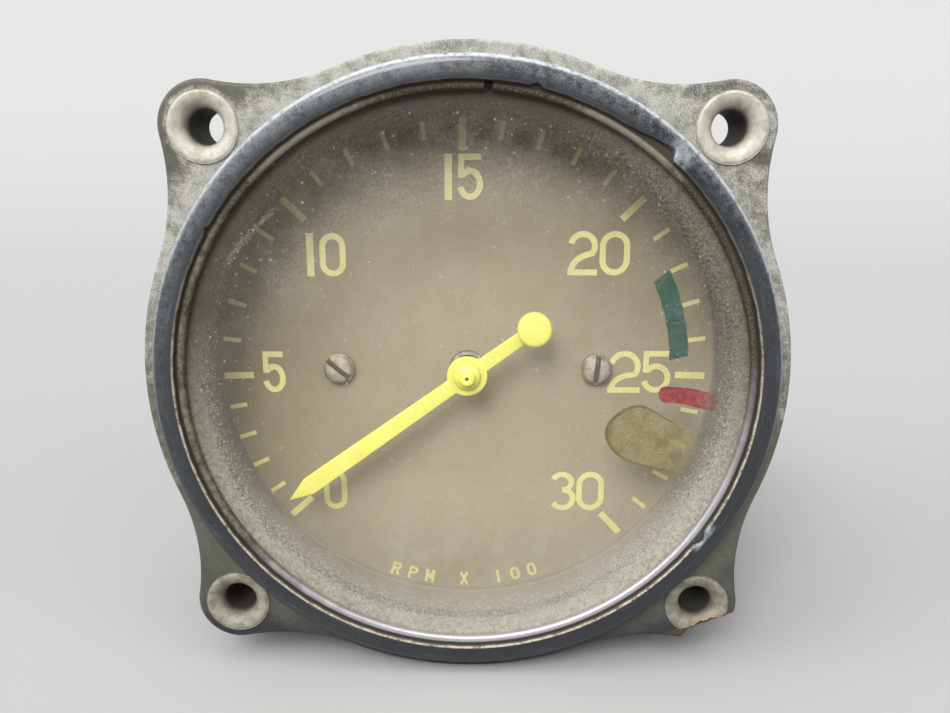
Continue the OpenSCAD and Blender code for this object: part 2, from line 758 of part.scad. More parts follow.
// Ring magnet with six shallow pole flutes
module magnet() {
    flute_r = 1.6;
    color(magnet_grey) difference() {
        rod(y_nose, y_magnet_back, magnet_r);
        rod(y_nose - cut, y_magnet_back + cut, hub_r + fit_gap);
        around(magnet_r + flute_r / 2, [for (i = [0:5]) 60 * i])
            rod(y_nose - cut, y_magnet_back + cut, flute_r);
    }
}

// Steel cup that closes the field round the drag cup
module magnet_yoke() {
    color(steel) turned([[hub_r + fit_gap, y_web], [yoke_in_r, y_web], [yoke_in_r, y_nose],
        [yoke_r, y_nose], [yoke_r, y_yoke_back], [hub_r + fit_gap, y_yoke_back]]);
}

module rear_jewel() {
    color(ruby) difference() {
        rod(y_rear_jewel, y_rear_jewel + rear_jewel_l, rear_jewel_r);
        rod(y_rear_jewel - cut, y_rear_jewel + rear_jewel_l + cut, pivot_r + staff_run);
    }
}

// Sheet pointer with its round middle, point and tail pad
module pointer() {
    shoulder = pointer_reach - pointer_point;
    y_sheet = y_pointer + pointer_t;
    color(yellow) rotate([0, rest_angle, 0]) difference() {
        union() {
            rod(y_pointer, y_sheet, pointer_hub_d / 2);
            slab(y_pointer, y_sheet) polygon([[-tail_w / 2, -tail_reach], [-pointer_tip_w / 2, shoulder],
                [0, pointer_reach], [pointer_tip_w / 2, shoulder], [tail_w / 2, -tail_reach]]);
            translate([0, 0, -tail_reach]) rod(y_pointer, y_sheet, weight_d / 2);
        }
        rod(y_pointer - cut, y_sheet + cut, boss_neck_r + fit_gap);
        translate([0, 0, -tail_reach]) rod(y_pointer - cut, y_sheet + cut, weight_rivet_r + fit_gap);
    }
}

// Stepped boss riveted into the pointer
module pointer_boss() {
    y_step = y_pointer - boss_h / 2;
    y_sheet = y_pointer + pointer_t;
    bore = seat_r + fit_gap;
    color(yellow) turned([[bore, y_boss], [boss_step_r, y_boss], [boss_step_r, y_step],
        [boss_foot_r, y_step], [boss_foot_r, y_pointer], [boss_neck_r, y_pointer],
        [boss_neck_r, y_sheet], [boss_collar_r, y_sheet], [boss_collar_r, y_sheet + boss_collar_l],
        [bore, y_sheet + boss_collar_l]]);
}

// Round weight on the tail, with its rivet
module balance_weight() {
    y_sheet = y_pointer + pointer_t;
    color(yellow) rotate([0, rest_angle + 180, 0]) translate([0, 0, tail_reach])
        turned([[0, y_pointer - weight_t], [weight_d / 2 - weight_bevel, y_pointer - weight_t],
            [weight_d / 2, y_pointer - weight_t + weight_bevel], [weight_d / 2, y_pointer],
            [weight_rivet_r, y_pointer], [weight_rivet_r, y_sheet], [2 * weight_rivet_r, y_sheet],
            [2 * weight_rivet_r, y_sheet + weight_peen_t], [0, y_sheet + weight_peen_t]]);
}

// Pointer staff with its seats, front journal and rear pivot
module pointer_staff() {
    y_seat_end = y_pointer + pointer_t + boss_collar_l;
    color(steel) turned([[0, y_boss + boss_recess], [seat_r, y_boss + boss_recess],
        [seat_r, y_seat_end], [staff_r, y_seat_end], [staff_r, y_plate - journal_over],
        [journal_r, y_plate - journal_over], [journal_r, y_plate_back + journal_over],
        [staff_r, y_plate_back + journal_over], [staff_r, y_staff_shoulder],
        [pivot_r, y_staff_shoulder], [pivot_r, y_pivot_end], [0, y_pivot_end]]);
}

module on_staff(y0, y1, r) {
    difference() {
        rod(y0, y1, r);
        rod(y0 - cut, y1 + cut, staff_r + fit_gap);
    }
}

module spring_collet() {
    color(brass) on_staff(y_spring - collet_over, y_spring_back + collet_over, collet_r);
}

// Arm that meets a stop pin at each end of the swing
module stop_arm() {
    arm_l = stop_reach + stop_pin_r + arm_over;
    color(brass) rotate([0, rest_angle, 0]) difference() {
        slab(y_arm, y_arm_back) union() {
            circle(arm_hub_r);
            translate([-stop_arm_w / 2, 0]) square([stop_arm_w, arm_l]);
        }
        rod(y_arm - cut, y_arm_back + cut, staff_r + fit_gap);
    }
}

module cup_hub() {
    color(brass) on_staff(y_cup - cup_hub_front, y_cup + cup_wall + cup_hub_back, cup_hub_r);
}

// Thin aluminium cup that the turning field drags round
module drag_cup() {
    in_r = cup_r - cup_wall;
    color(aluminium) turned([[cup_hub_r + fit_gap, y_cup], [cup_r, y_cup], [cup_r, y_cup_end],
        [in_r, y_cup_end], [in_r, y_cup + cup_wall], [cup_hub_r + fit_gap, y_cup + cup_wall]]);
}

case_shell();
mounting_eyelets();
snap_ring();
cover_glass();
glass_gasket();
dial_plate();
dial_screws();
dial_posts();
front_plate();
plate_screws();
pillars();
base_plate();
drive_housing();
housing_gasket();
housing_screws();
front_bush();
rear_bush();
front_jewel();
hairspring();
hairspring_stud();
stop_pins();
drive_shaft();
retaining_ring();
thrust_collar();
collar_pin();
magnet_hub();
hub_pin();
magnet();
magnet_yoke();
rear_jewel();
pointer();
pointer_boss();
balance_weight();
pointer_staff();
spring_collet();
stop_arm();
cup_hub();
drag_cup();
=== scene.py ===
import bmesh
import bpy
import numpy as np
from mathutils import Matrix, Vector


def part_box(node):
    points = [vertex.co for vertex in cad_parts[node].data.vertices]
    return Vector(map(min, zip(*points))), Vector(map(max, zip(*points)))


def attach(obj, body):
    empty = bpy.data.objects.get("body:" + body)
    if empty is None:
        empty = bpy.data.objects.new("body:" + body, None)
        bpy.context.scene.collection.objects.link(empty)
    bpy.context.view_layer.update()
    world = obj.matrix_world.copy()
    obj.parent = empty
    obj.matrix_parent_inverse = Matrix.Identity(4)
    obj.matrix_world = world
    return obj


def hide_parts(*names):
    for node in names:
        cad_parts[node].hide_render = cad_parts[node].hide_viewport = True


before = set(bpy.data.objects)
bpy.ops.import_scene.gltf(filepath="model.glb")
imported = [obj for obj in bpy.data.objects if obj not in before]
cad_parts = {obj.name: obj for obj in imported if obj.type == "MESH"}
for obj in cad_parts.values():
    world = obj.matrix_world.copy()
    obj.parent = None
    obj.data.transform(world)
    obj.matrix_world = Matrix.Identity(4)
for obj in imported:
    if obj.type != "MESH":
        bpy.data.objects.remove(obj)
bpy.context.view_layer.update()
MM = 0.001

# Depths of the pieces along Y and radii about the axis, in millimetres, as in the CAD model
FACE, LIP, GROOVE, GLASS, LEDGE, DIAL, POINTER = -9.2, -11.7, -11.0, -9.9, -7.9, -2.1, -6.5
BARREL_END, REAR_FACE, INNER_END = 50.0, 51.0, 46.0
BEZEL_R, LIP_R, GROOVE_R, BORE_R, CASE_R, FLANGE_R = 39.7, 36.7, 37.5, 34.6, 38.9, 41.3
EAR_REACH, EAR_R, BLEND_R = 44.45, 5.5, 26.0
EAR_XZ = EAR_REACH * 0.5 ** 0.5
EAR_TURNS = (45, 135, 225, 315)
EYELET_HOLE_R, MOUTH_R, MOUTH_CENTRE_R, MOUTH_CENTRE_Y = 3.0, 1.85, 4.0, -7.65
SCREW_X = 17.5
REST, TIP, SHOULDER, TAIL, HUB_R, WEIGHT_R = -126.0, 30.0, 26.6, 10.8, 2.65, 2.25
NIPPLE_R, THREAD_START, THREAD_END = 11.11, 56.5, 66.2


class Value:
    """One socket of a finish. Arithmetic with it adds Math nodes to that finish."""

    def __init__(self, finish, socket):
        self.finish, self.socket = finish, socket

    def math(self, operation, *others):
        return self.finish.node("ShaderNodeMath", {"operation": operation}, dict(enumerate((self, *others))))

    def __add__(self, other):
        return self.math("ADD", other)

    def __sub__(self, other):
        return self.math("SUBTRACT", other)

    def __rsub__(self, other):
        return self.math("MULTIPLY_ADD", -1.0, other)

    def __mul__(self, other):
        return self.math("MULTIPLY", other)

    def __pow__(self, other):
        return self.math("POWER", other)

    __radd__, __rmul__ = __add__, __mul__


class Finish:
    """A material in the making, with the place of a point in millimetres, its reach from the axis and its turn."""

    def __init__(self, name):
        self.material = bpy.data.materials.new(name)
        self.material.use_nodes = True
        self.tree = self.material.node_tree
        self.tree.nodes.clear()
        place = self.node("ShaderNodeTexCoord", out="Object")
        self.point = self.node("ShaderNodeVectorMath", {"operation": "SCALE"}, {0: place, "Scale": 1 / MM})
        self.x, self.y, self.z = (self.node("ShaderNodeSeparateXYZ", {}, {0: self.point}, k) for k in range(3))
        self.reach = (self.x * self.x + self.z * self.z) ** 0.5
        self.turn = self.x.math("ARCTAN2", self.z)

    def node(self, kind, settings=(), sockets=(), out=0):
        """Adds a node: its settings first, then the values or links of its sockets; gives one of its outputs."""
        made = self.tree.nodes.new(kind)
        for key, value in dict(settings).items():
            setattr(made, key, value)
        for key, value in dict(sockets).items():
            if isinstance(value, Value):
                self.tree.links.new(value.socket, made.inputs[key])
            else:
                made.inputs[key].default_value = value
        return Value(self, made.outputs[out]) if made.outputs else None

    def noise(self, size, detail=4.0, rough=0.6, at=None):
        """Clouds whose lumps are about size millimetres across."""
        return self.node("ShaderNodeTexNoise", {}, {"Vector": at or self.point, "Scale": 1 / size,
                                                    "Detail": detail, "Roughness": rough})

    def grain(self, size):
        """A value from 0 to 1 drawn by lot for each of the cells about size millimetres across."""
        tint = self.node("ShaderNodeTexVoronoi", {}, {"Vector": self.point, "Scale": 1 / size}, "Color")
        return self.node("ShaderNodeSeparateColor", {}, {0: tint})

    def specks(self, size, share):
        """Round grains: 1 near the middle of the share of the cells of that size that hold one."""
        near = self.node("ShaderNodeTexVoronoi", {}, {"Vector": self.point, "Scale": 1 / size}, "Distance")
        return self.fade(near, 0.2, 0.07) * self.fade(self.grain(size), share, share * 0.4)

    def fade(self, value, low, high):
        """0 where the value is at low, 1 where it is at high, and smooth between."""
        return self.node("ShaderNodeMapRange", {"interpolation_type": "SMOOTHSTEP"},
                         {"Value": value, "From Min": low, "From Max": high})

    def band(self, value, low, high, soft):
        """1 between low and high, 0 outside, with soft ends."""
        return self.fade(value, low - soft, low + soft) * self.fade(value, high + soft, high - soft)

    def stretched(self, across, along):
        """The point with its turn and reach in place of x and z, for patterns that run round the axis."""
        return self.node("ShaderNodeCombineXYZ", {}, {0: self.turn * along, 1: self.y, 2: self.reach * across})

    def blend(self, share, first, second):
        """One colour gives way to another: (1 - share) of the first and share of the second."""
        colours = {k: c if isinstance(c, Value) else (*c, 1.0) for k, c in ((6, first), (7, second))}
        return self.node("ShaderNodeMix", {"data_type": "RGBA"}, {0: share, **colours}, 2)

    def bump(self, height, depth, strength=1.0):
        """Relief of that depth in millimetres."""
        return self.node("ShaderNodeBump", {}, {"Height": height, "Distance": depth * MM, "Strength": strength})

    def close(self, colour, roughness, **plain):
        """Feeds the surface shader; a name's underscores stand for spaces in its sockets."""
        sockets = {"Base Color": colour if isinstance(colour, Value) else (*colour, 1.0), "Roughness": roughness}
        sockets.update({key.replace("_", " "): value for key, value in plain.items()})
        shader = self.node("ShaderNodeBsdfPrincipled", {}, sockets)
        self.node("ShaderNodeOutputMaterial", {}, {"Surface": shader})
        return self.material


def phenolic():
    """Black moulded plastic: tan dust sifted over the flange, thickest above and against the ring, a glossy mottled
    ring, its patches made lighter above and to the left as a painted sheen, its rubbed outer edge carrying a painted
    highlight above and painted shade below, a dusty lip wall whose worn front edge carries a painted highlight below,
    painted shade at the foot of the flange, and pale or brown breaks where it is chipped."""
    f = Finish("phenolic")
    cloud, fine, grit = f.noise(5.0, 6.0, 0.62), f.noise(0.8, 5.0, 0.7), f.noise(0.17, 3.0, 0.7)
    drift = f.noise(2.0, 5.0, 0.66)
    ring = f.fade(f.y, -9.3, -9.55)
    plate = f.fade(f.y, -0.3, -0.6) * f.fade(f.reach, 37.7, 38.1) * (1 - ring)
    face = f.fade(f.y, -8.3, -9.05) * plate
    inside = f.fade(f.reach, 36.9, 36.6) * f.fade(f.y, -9.8, -9.6) * f.fade(f.y, 40.0, 30.0)
    ear_x, ear_z = f.x.math("ABSOLUTE") - EAR_XZ, f.z.math("ABSOLUTE") - EAR_XZ
    ear = (ear_x * ear_x + ear_z * ear_z) ** 0.5
    bare = f.fade(ear, 4.4, 5.1) * f.fade(f.reach, 42.5, 45.5) * f.fade(f.x, 40.0, -10.0)
    high, crest = f.fade(f.z, -30.0, 30.0), f.fade(f.z, -5.0, 30.0)
    share = 0.06 + 0.46 * high + 0.16 * high * f.fade(f.reach, 43.0, 40.0) - 0.34 * bare
    share = share + 0.2 * high * f.fade(f.x, 24.0, 38.0) * f.fade(f.z, 20.0, 4.0)
    heap = 0.26 * cloud + 0.3 * drift + 0.12 * fine + 0.32 * grit + 0.42 * share - 0.2
    dust = f.fade(heap, 0.42, 0.6) * (0.25 + 0.75 * face) * plate
    scuff = f.fade(f.noise(1.0, 4.0, 0.7, f.stretched(2.2, 5.0)), 0.55, 0.75) * ring
    # Mottled patches on the ring: real marks, made lighter above and commoner to the left as a painted sheen.
    smudge_and_sheen = 0.2 * drift + 0.4 * fine + 0.4 * grit + 0.06 * crest - 0.001 * f.x
    smudge_and_sheen = f.fade(smudge_and_sheen, 0.46, 0.66) * f.fade(f.reach, 36.6, 39.0) * ring
    rim = f.band(f.reach, 39.2, 39.75, 0.2) * ring
    # Rubbed outer edge of the ring, kept to the upper side: wear and a painted highlight.
    rub = rim * f.fade(f.z, -14.0, 16.0) * f.fade(fine, 0.25, 0.55)
    wall = f.fade(f.reach, 36.95, 36.8) * ring
    lip = f.fade(f.y, -11.4, -11.6) * f.band(f.reach, 36.6, 36.95, 0.08)
    # Worn tan line on the lip's front edge, kept to the lower side: wear and a painted highlight.
    worn = lip * f.fade(fine * 0.6 + grit * 0.4, 0.38, 0.55) * f.fade(f.z, 24.0, -8.0)
    chips = (f.band(f.turn, 2.1, 2.2, 0.02) * f.fade(f.reach, 37.9, 37.4)
             + f.band(f.turn, 0.69, 0.76, 0.02) * f.fade(f.reach, 39.6, 38.4)) * ring
    crack = f.fade(broken_off(f), 2.5, 2.8) * f.fade(f.z, -27.0, -30.0) * f.fade(f.x, 24.0, 27.0) * plate
    barrel = f.fade(f.y, 0.0, 1.0)
    film = barrel * (0.1 + 0.34 * f.fade(f.z, 0.0, 36.0)) * f.fade(0.2 * cloud + 0.3 * drift + 0.5 * fine, 0.32, 0.68)
    hair = f.noise(0.5, 3.0, 0.6, f.stretched(1.4, 1.6))
    scratch = barrel * f.band(hair, 0.49, 0.51, 0.012) * f.fade(cloud, 0.46, 0.62)
    corner = barrel * f.fade(f.y + f.reach, 83.4, 85.2) * f.fade(fine * 0.5 + drift * 0.5, 0.4, 0.62)
    tone = f.blend(cloud, (0.016, 0.018, 0.022), (0.032, 0.035, 0.04))
    olive_film_and_shade = 0.4 * drift + 0.6 * (grit + fine - 0.8) + 0.25 * high + 0.25 * f.fade(f.reach, 45.0, 41.5)
    # Painted shade: the film is taken away at the foot of the flange, leaving it darker there.
    olive_film_and_shade = olive_film_and_shade - 0.45 * f.fade(f.z, -30.0, -38.0)
    tone = f.blend((0.4 + 0.6 * face) * plate * olive_film_and_shade, tone, (0.155, 0.148, 0.11))
    sand = f.blend(f.fade(drift * 0.6 + fine * 0.4, 0.36, 0.62), (0.33, 0.325, 0.28), (0.54, 0.53, 0.47))
    tone = f.blend(dust * (0.72 + 1.7 * (grit - 0.5)), tone, sand)
    # Patch colour lighter above: a painted sheen.
    tone = f.blend(smudge_and_sheen * (0.45 + 0.35 * crest), tone, f.blend(crest, (0.085, 0.1, 0.105), (0.2, 0.22, 0.225)))
    tone = f.blend(scuff * 0.25, tone, (0.2, 0.22, 0.24))
    # Painted shade: the ring's outer edge near black below.
    tone = f.blend(rim * f.fade(f.z + 0.12 * f.x, 2.0, -20.0) * 0.85, tone, (0.01, 0.011, 0.012))
    # Pale blue rub on the upper outer edge, less to the left: wear and a painted highlight.
    tone = f.blend(rub * (0.5 + 0.45 * crest) * (1 - 0.3 * f.fade(f.x, -10.0, -34.0)), tone, (0.53, 0.56, 0.6))
    tone = f.blend(wall * (0.3 + 0.6 * fine), tone, (0.11, 0.09, 0.06))
    # Tan lip edge: wear and a painted highlight below.
    tone = f.blend(worn * 0.85, tone, (0.52, 0.46, 0.35))
    tone = f.blend(chips * f.fade(fine, 0.3, 0.6) * 0.7, tone, (0.36, 0.4, 0.41))
    tone = f.blend(crack * (0.25 + 0.6 * fine), tone, (0.1, 0.066, 0.042))
    tone = f.blend(film, tone, (0.25, 0.24, 0.2))
    tone = f.blend(scratch * 0.4 + corner * 0.35, tone, (0.22, 0.22, 0.22))
    tone = f.blend(inside, tone, (0.05, 0.044, 0.034))
    rough = 0.22 + 0.14 * cloud + 0.1 * scuff + 0.4 * dust + 0.22 * plate + 0.5 * film + 0.3 * corner
    rough = rough + 0.4 * inside + 0.3 * wall + 0.2 * smudge_and_sheen
    coat = (0.04 + 0.58 * high - 0.2 * smudge_and_sheen) * ring
    return f.close(tone, rough, Coat_Weight=coat, Coat_Roughness=0.14, Specular_IOR_Level=0.36,
                   Normal=f.bump(fine * 0.5 + grit * 0.35 + dust * 0.6, 0.05, 0.6))


def eyelet_metal():
    """Tarnished plated brass: chalky off-white mouths above, darker brown ones below, painted shade darkening them
    down the bore, and a brown edge where one rim has broken off."""
    f = Finish("eyelet_metal")
    cloud, fine = f.noise(1.6, 5.0, 0.68), f.noise(0.3, 4.0, 0.7)
    deep = f.fade(f.y, -9.25, -7.2)
    # Darker and browner towards the bottom.
    low = f.fade(f.z + cloud * 16.0, 22.0, -14.0)
    edge = f.fade(broken_off(f), 2.3, 2.7) * f.fade(f.z, -27.0, -30.0) * f.fade(f.x, 24.0, 27.0)
    tone = f.blend(f.fade(cloud, 0.4, 0.66), (0.55, 0.535, 0.46), (0.4, 0.38, 0.3))
    tone = f.blend(low * 0.9, tone, f.blend(f.fade(cloud, 0.38, 0.62), (0.29, 0.275, 0.225), (0.16, 0.145, 0.105)))
    tone = f.blend(f.fade(fine, 0.56, 0.7) * 0.45, tone, (0.2, 0.17, 0.12))
    # Painted shade: near black deeper down the bore.
    tone = f.blend(deep * 0.96, tone, (0.035, 0.03, 0.02))
    tone = f.blend(edge * 0.8, tone, (0.26, 0.17, 0.1))
    return f.close(tone, 0.5 + 0.3 * cloud, Metallic=0.2, Normal=f.bump(fine + cloud, 0.07, 0.7))


def ring_steel():
    """Sprung steel: a painted glint below, dull brown and gritty above and at the sides, and painted shade, near
    black, against the lip.
    """
    f = Finish("ring_steel")
    cloud, fine, grit = f.noise(3.0, 5.0, 0.65), f.noise(0.7, 4.0, 0.7), f.noise(0.2, 3.0, 0.7)
    # Painted glint: pale steel below and to the right.
    bright = f.fade(0.35 * f.x - f.z + (cloud - 0.5) * 26.0, 4.0, 34.0)
    sides = 0.14 * f.fade(f.x, -20.0, -34.0) + 0.3 * f.band(f.turn.math("ABSOLUTE"), 0.35, 0.75, 0.12)
    tan = f.fade(fine * 0.5 + cloud * 0.5 + sides, 0.5, 0.82)
    # Pale colour where the painted glint lies.
    tone = f.blend(bright, f.blend(tan, (0.07, 0.06, 0.043), (0.32, 0.285, 0.225)), (0.5, 0.5, 0.52))
    tone = f.blend(f.fade(grit, 0.5, 0.66) * (0.7 - 0.5 * bright), tone, (0.3, 0.27, 0.2))
    # Painted shade: near black where the wire meets the lip.
    tone = f.blend(f.fade(f.reach, 36.2, 36.5) * 0.9, tone, (0.05, 0.042, 0.03))
    return f.close(tone, 0.6 - 0.27 * bright + 0.2 * cloud, Metallic=0.75, Normal=f.bump(fine + grit, 0.04, 0.6))


def dusty_glass():
    """Clear pane with a faint gloss and, on its front, grit against the ring, pale below and near black above as
    painted shade, which thins out inwards grain by grain, a grey haze below, a thin grainy veil, a trail at the upper
    left and white specks."""
    f = Finish("dusty_glass")
    front = f.fade(f.y, -9.7, -9.85)
    cloud, drift, fine = f.noise(7.0, 5.0, 0.6), f.noise(2.2, 4.0, 0.65), f.noise(0.8, 5.0, 0.75)
    lot, mote, other = f.noise(0.45, 5.0, 0.8), f.noise(0.3, 4.0, 0.8), f.noise(0.6, 5.0, 0.8)
    left, right = f.fade(-0.9 * f.x - 0.35 * f.z, 5.0, 34.0), f.fade(f.x, 8.0, 30.0)
    below, above = f.fade(f.z, 12.0, -24.0), f.fade(f.z, -14.0, 16.0)
    inset = 35.65 - f.reach + (fine - 0.5) * 2.4 + (drift - 0.5) * 3.0 + (cloud - 0.5) * 2.0
    spread = 3.6 + left * (2.6 - 2.4 * below) - 0.3 * below + 1.2 * right + 1.2 * above * (1 - right)
    bank = f.fade(inset, spread, -0.4)
    near = f.fade(inset, 9.0, 0.0)
    grains = f.fade(lot * 0.7 + mote * 0.6 + bank * 0.8, 0.72, 1.3) * (0.3 + 0.7 * bank)
    strays = f.fade(lot * 0.6 + mote * 0.4 + near * (0.1 + 0.06 * right + 0.04 * left), 0.56, 0.72) * 0.5
    patch = f.fade(cloud * 0.6 + drift * 0.4, 0.38, 0.62)
    haze = f.fade(inset, 8.0, 0.8) * (0.02 + below * (0.46 - 0.22 * left) + 0.03 * left) * (0.5 + lot)
    haze = haze + 0.19 * f.fade(f.z, -10.0, -25.0) * (0.4 + patch) * (0.5 + lot)
    specks = f.specks(1.1, 0.3) * 0.42 + f.specks(0.75, 0.3) * 0.5 + f.specks(0.5, 0.26) * 0.5
    belt = f.band(f.reach, 22.0, 28.6, 2.6) * f.fade(f.z - f.x * 0.4, 12.0, 24.0) * (0.3 + 0.9 * drift)
    sifted = f.fade(lot * 0.5 + mote * 0.5, 0.34, 0.72)
    veil = 0.012 + (0.02 + 0.2 * sifted) * (0.15 + patch) * (0.25 + 0.35 * above)
    veil = (veil + 0.32 * belt * sifted) * (1 - 0.7 * bank * above)
    path = (f.reach - 27.38 + f.turn * 5.38).math("ABSOLUTE") + (fine - 0.5) * 1.4
    trail = f.fade(path, 0.5, 0.1) * f.band(f.turn, -1.08, -0.82, 0.06) * f.fade(mote, 0.36, 0.66)
    light = veil + haze + 0.3 * trail + specks * (0.3 + patch)
    dust = (light + grains + strays) * front
    sand = 0.2 + 1.5 * f.fade(other * 0.6 + mote * 0.4, 0.34, 0.68)
    # Grit colour: pale below, near black above as painted shade, varied by sand.
    pale = (0.03 + below * (0.76 - 0.22 * left) + 0.2 * right * above) * sand
    tone = f.blend(pale, (0.032, 0.029, 0.017), (0.52, 0.49, 0.37))
    tone = f.blend(light.math("DIVIDE", dust + 0.001), tone, f.blend(below, (0.56, 0.55, 0.5), (0.425, 0.41, 0.36)))
    clear = f.fade(dust, 0.1, 0.02)
    tone = f.blend(clear, tone, (0.9, 0.92, 0.92))
    cover = (0.02 * front + dust).math("MINIMUM", 0.93)
    return f.close(tone, 0.85 - 0.8 * clear, Metallic=clear, Alpha=cover)


def gasket_cork():
    """Cork sheet, dark with age: greenish crumbs in brown, paler below."""
    f = Finish("gasket_cork")
    crumb, fine = f.noise(0.5, 4.0, 0.7), f.noise(0.25, 3.0, 0.6)
    tone = f.blend(f.fade(crumb, 0.4, 0.64), (0.055, 0.046, 0.03), (0.19, 0.18, 0.13))
    tone = f.blend(f.fade(f.z, 0.0, -30.0) * (0.2 + 0.5 * crumb), tone, (0.42, 0.41, 0.32))
    return f.close(tone, 0.85 + 0.1 * fine, Normal=f.bump(crumb, 0.08))


def dial_paint():
    """Matt tan-brown paint, faintly mottled, with painted shade above and to the left and along its rim."""
    f = Finish("dial_paint")
    cloud, fine = f.noise(12.0, 5.0, 0.6), f.noise(0.5, 4.0, 0.65)
    tone = f.blend(f.fade(cloud, 0.3, 0.7), (0.41, 0.345, 0.23), (0.45, 0.385, 0.265))
    tone = f.blend(f.fade(f.reach, 24.0, 34.0) * 0.3, tone, (0.34, 0.31, 0.22))
    tone = f.blend(f.fade(fine, 0.62, 0.75) * 0.25, tone, (0.28, 0.24, 0.16))
    # Painted shade above and to the upper left, growing outwards.
    tone = f.blend(0.6 * f.fade(f.reach, 1.0, 33.0) * f.fade(f.z - f.x * 0.25, -20.0, 8.0), tone, (0.158, 0.12, 0.052))
    tone = f.blend(f.fade(f.noise(0.55, 5.0, 0.8), 0.32, 0.68) * 0.34, tone, (0.3, 0.25, 0.16))
    # Painted shade near the rim at the upper left.
    painted_shade_slant = f.z - f.x * 0.6
    tone = f.blend(0.3 * f.fade(f.reach, 24.0, 32.0) * f.fade(painted_shade_slant, 6.0, 26.0), tone, (0.07, 0.058, 0.03))
    # Painted shade on the left.
    tone = f.blend(0.3 * f.fade(f.reach, 18.0, 31.0) * f.fade(f.x, -10.0, -27.0), tone, (0.22, 0.172, 0.07))
    # Painted shade along the rim: at the bend, up the wall except below, and at its front edge.
    tone = f.blend(f.fade(f.reach, 32.9, 33.5) * 0.62, tone, (0.2, 0.185, 0.14))
    tone = f.blend(f.fade(f.reach, 33.2, 33.7) * f.fade(f.z, -28.0, -10.0) * 0.75, tone, (0.085, 0.075, 0.05))
    tone = f.blend(f.fade(f.y, -7.0, -7.5) * 0.8, tone, (0.1, 0.085, 0.06))
    return f.close(tone, 0.78 + 0.15 * fine, Normal=f.bump(fine, 0.02, 0.4))


def printed_paint(name, tone, worn, least=0.42):
    """Paint laid on the dial, thinner where it has rubbed, and darkened at the ticks above as painted shade."""
    f = Finish(name)
    cloud, fine = f.noise(2.5, 4.0, 0.6), f.noise(0.35, 4.0, 0.7)
    rub = f.fade(cloud * 0.6 + fine * 0.4, least, least + 0.25)
    # Painted shade over the ticks above.
    painted_tick_shade = f.fade(f.reach, 28.2, 29.6) * f.fade(f.z - f.x * 0.3, 4.0, 24.0)
    tone = f.blend(rub * 0.5, tone, worn)
    tone = f.blend(painted_tick_shade * (0.3 + 0.5 * fine), tone, (0.36, 0.31, 0.19))
    return f.close(tone, 0.6 + 0.2 * fine, Normal=f.bump(fine, 0.02, 0.4))


def red_line_paint():
    """Red paint brushed on the glass: solid at its round tip and wiped thin towards the ring."""
    f = Finish("red_line_paint")
    brush, streak = f.noise(0.6, 4.0, 0.7), f.noise(0.5, 3.0, 0.7, f.stretched(0.35, 40.0))
    thin = f.fade(f.reach + brush * 3.4 + streak * 2.4, 31.6, 36.4)
    tone = f.blend(f.fade(brush, 0.3, 0.7), (0.19, 0.018, 0.022), (0.34, 0.055, 0.055))
    return f.close(tone, 0.5, Alpha=(0.95 - 0.2 * f.fade(streak, 0.5, 0.66)) * (1 - thin))


def varnish_stain():
    """Old varnish on the glass: golden brown and grainy, darker in streaks and at its dried rim, thin at the right."""
    f = Finish("varnish_stain")
    cloud, grit = f.noise(1.8, 5.0, 0.68), f.noise(0.22, 3.0, 0.7)
    share = f.node("ShaderNodeUVMap")
    out = f.node("ShaderNodeSeparateXYZ", {}, {0: share}, 1)
    rim = f.band(out, 0.86, 0.965, 0.05) * f.fade(f.x, 31.0, 24.0)
    away = f.fade(f.x - f.z * 0.3 + cloud * 4.0, 30.0, 36.0)
    streak = f.fade(cloud * 0.75 + grit * 0.25, 0.47, 0.64)
    body = (0.82 + 0.15 * streak) * (1 - away) * f.fade(out, 1.0, 0.9)
    tone = f.blend(f.fade(grit, 0.36, 0.64), (0.2, 0.16, 0.07), (0.34, 0.285, 0.15))
    tone = f.blend(streak * 0.7, tone, (0.13, 0.1, 0.04))
    tone = f.blend(rim * 0.75, tone, (0.1, 0.075, 0.03))
    return f.close(tone, 0.5, Alpha=(body + rim * 0.3).math("MINIMUM", 0.94) * f.fade(out, 1.0, 0.95))


def yellow_enamel():
    """Bright yellow enamel with faint stipple, darker round the foot of the cap and in fine specks."""
    f = Finish("yellow_enamel")
    cloud, fine = f.noise(3.0, 4.0, 0.6), f.noise(0.25, 4.0, 0.7)
    tone = f.blend(f.fade(cloud, 0.35, 0.7), (0.85, 0.795, 0.14), (0.87, 0.83, 0.185))
    # Darker round the foot of the cap and in fine specks.
    darkening = f.band(f.reach, 1.75, 1.95, 0.12) * 0.25 + f.fade(fine, 0.66, 0.8) * 0.25
    tone = f.blend(darkening, tone, (0.42, 0.33, 0.03))
    return f.close(tone, 0.27 + 0.15 * fine, Normal=f.bump(fine, 0.03, 0.4))


def worn_metal(name, bright, dull, rough, size, metallic=1.0, ringed=False):
    """Bare or plated metal, mottled by age; a ringed one shows fine turning marks about the axis."""
    f = Finish(name)
    cloud = f.noise(size, 5.0, 0.65)
    fine = f.noise(0.12, 3.0, 0.6, f.stretched(1.0, 0.25)) if ringed else f.noise(0.3, 4.0, 0.7)
    tone = f.blend(f.fade(cloud, 0.35, 0.7), bright, dull)
    return f.close(tone, rough + 0.22 * cloud - 0.05, Metallic=metallic, Normal=f.bump(fine, 0.02, 0.5))


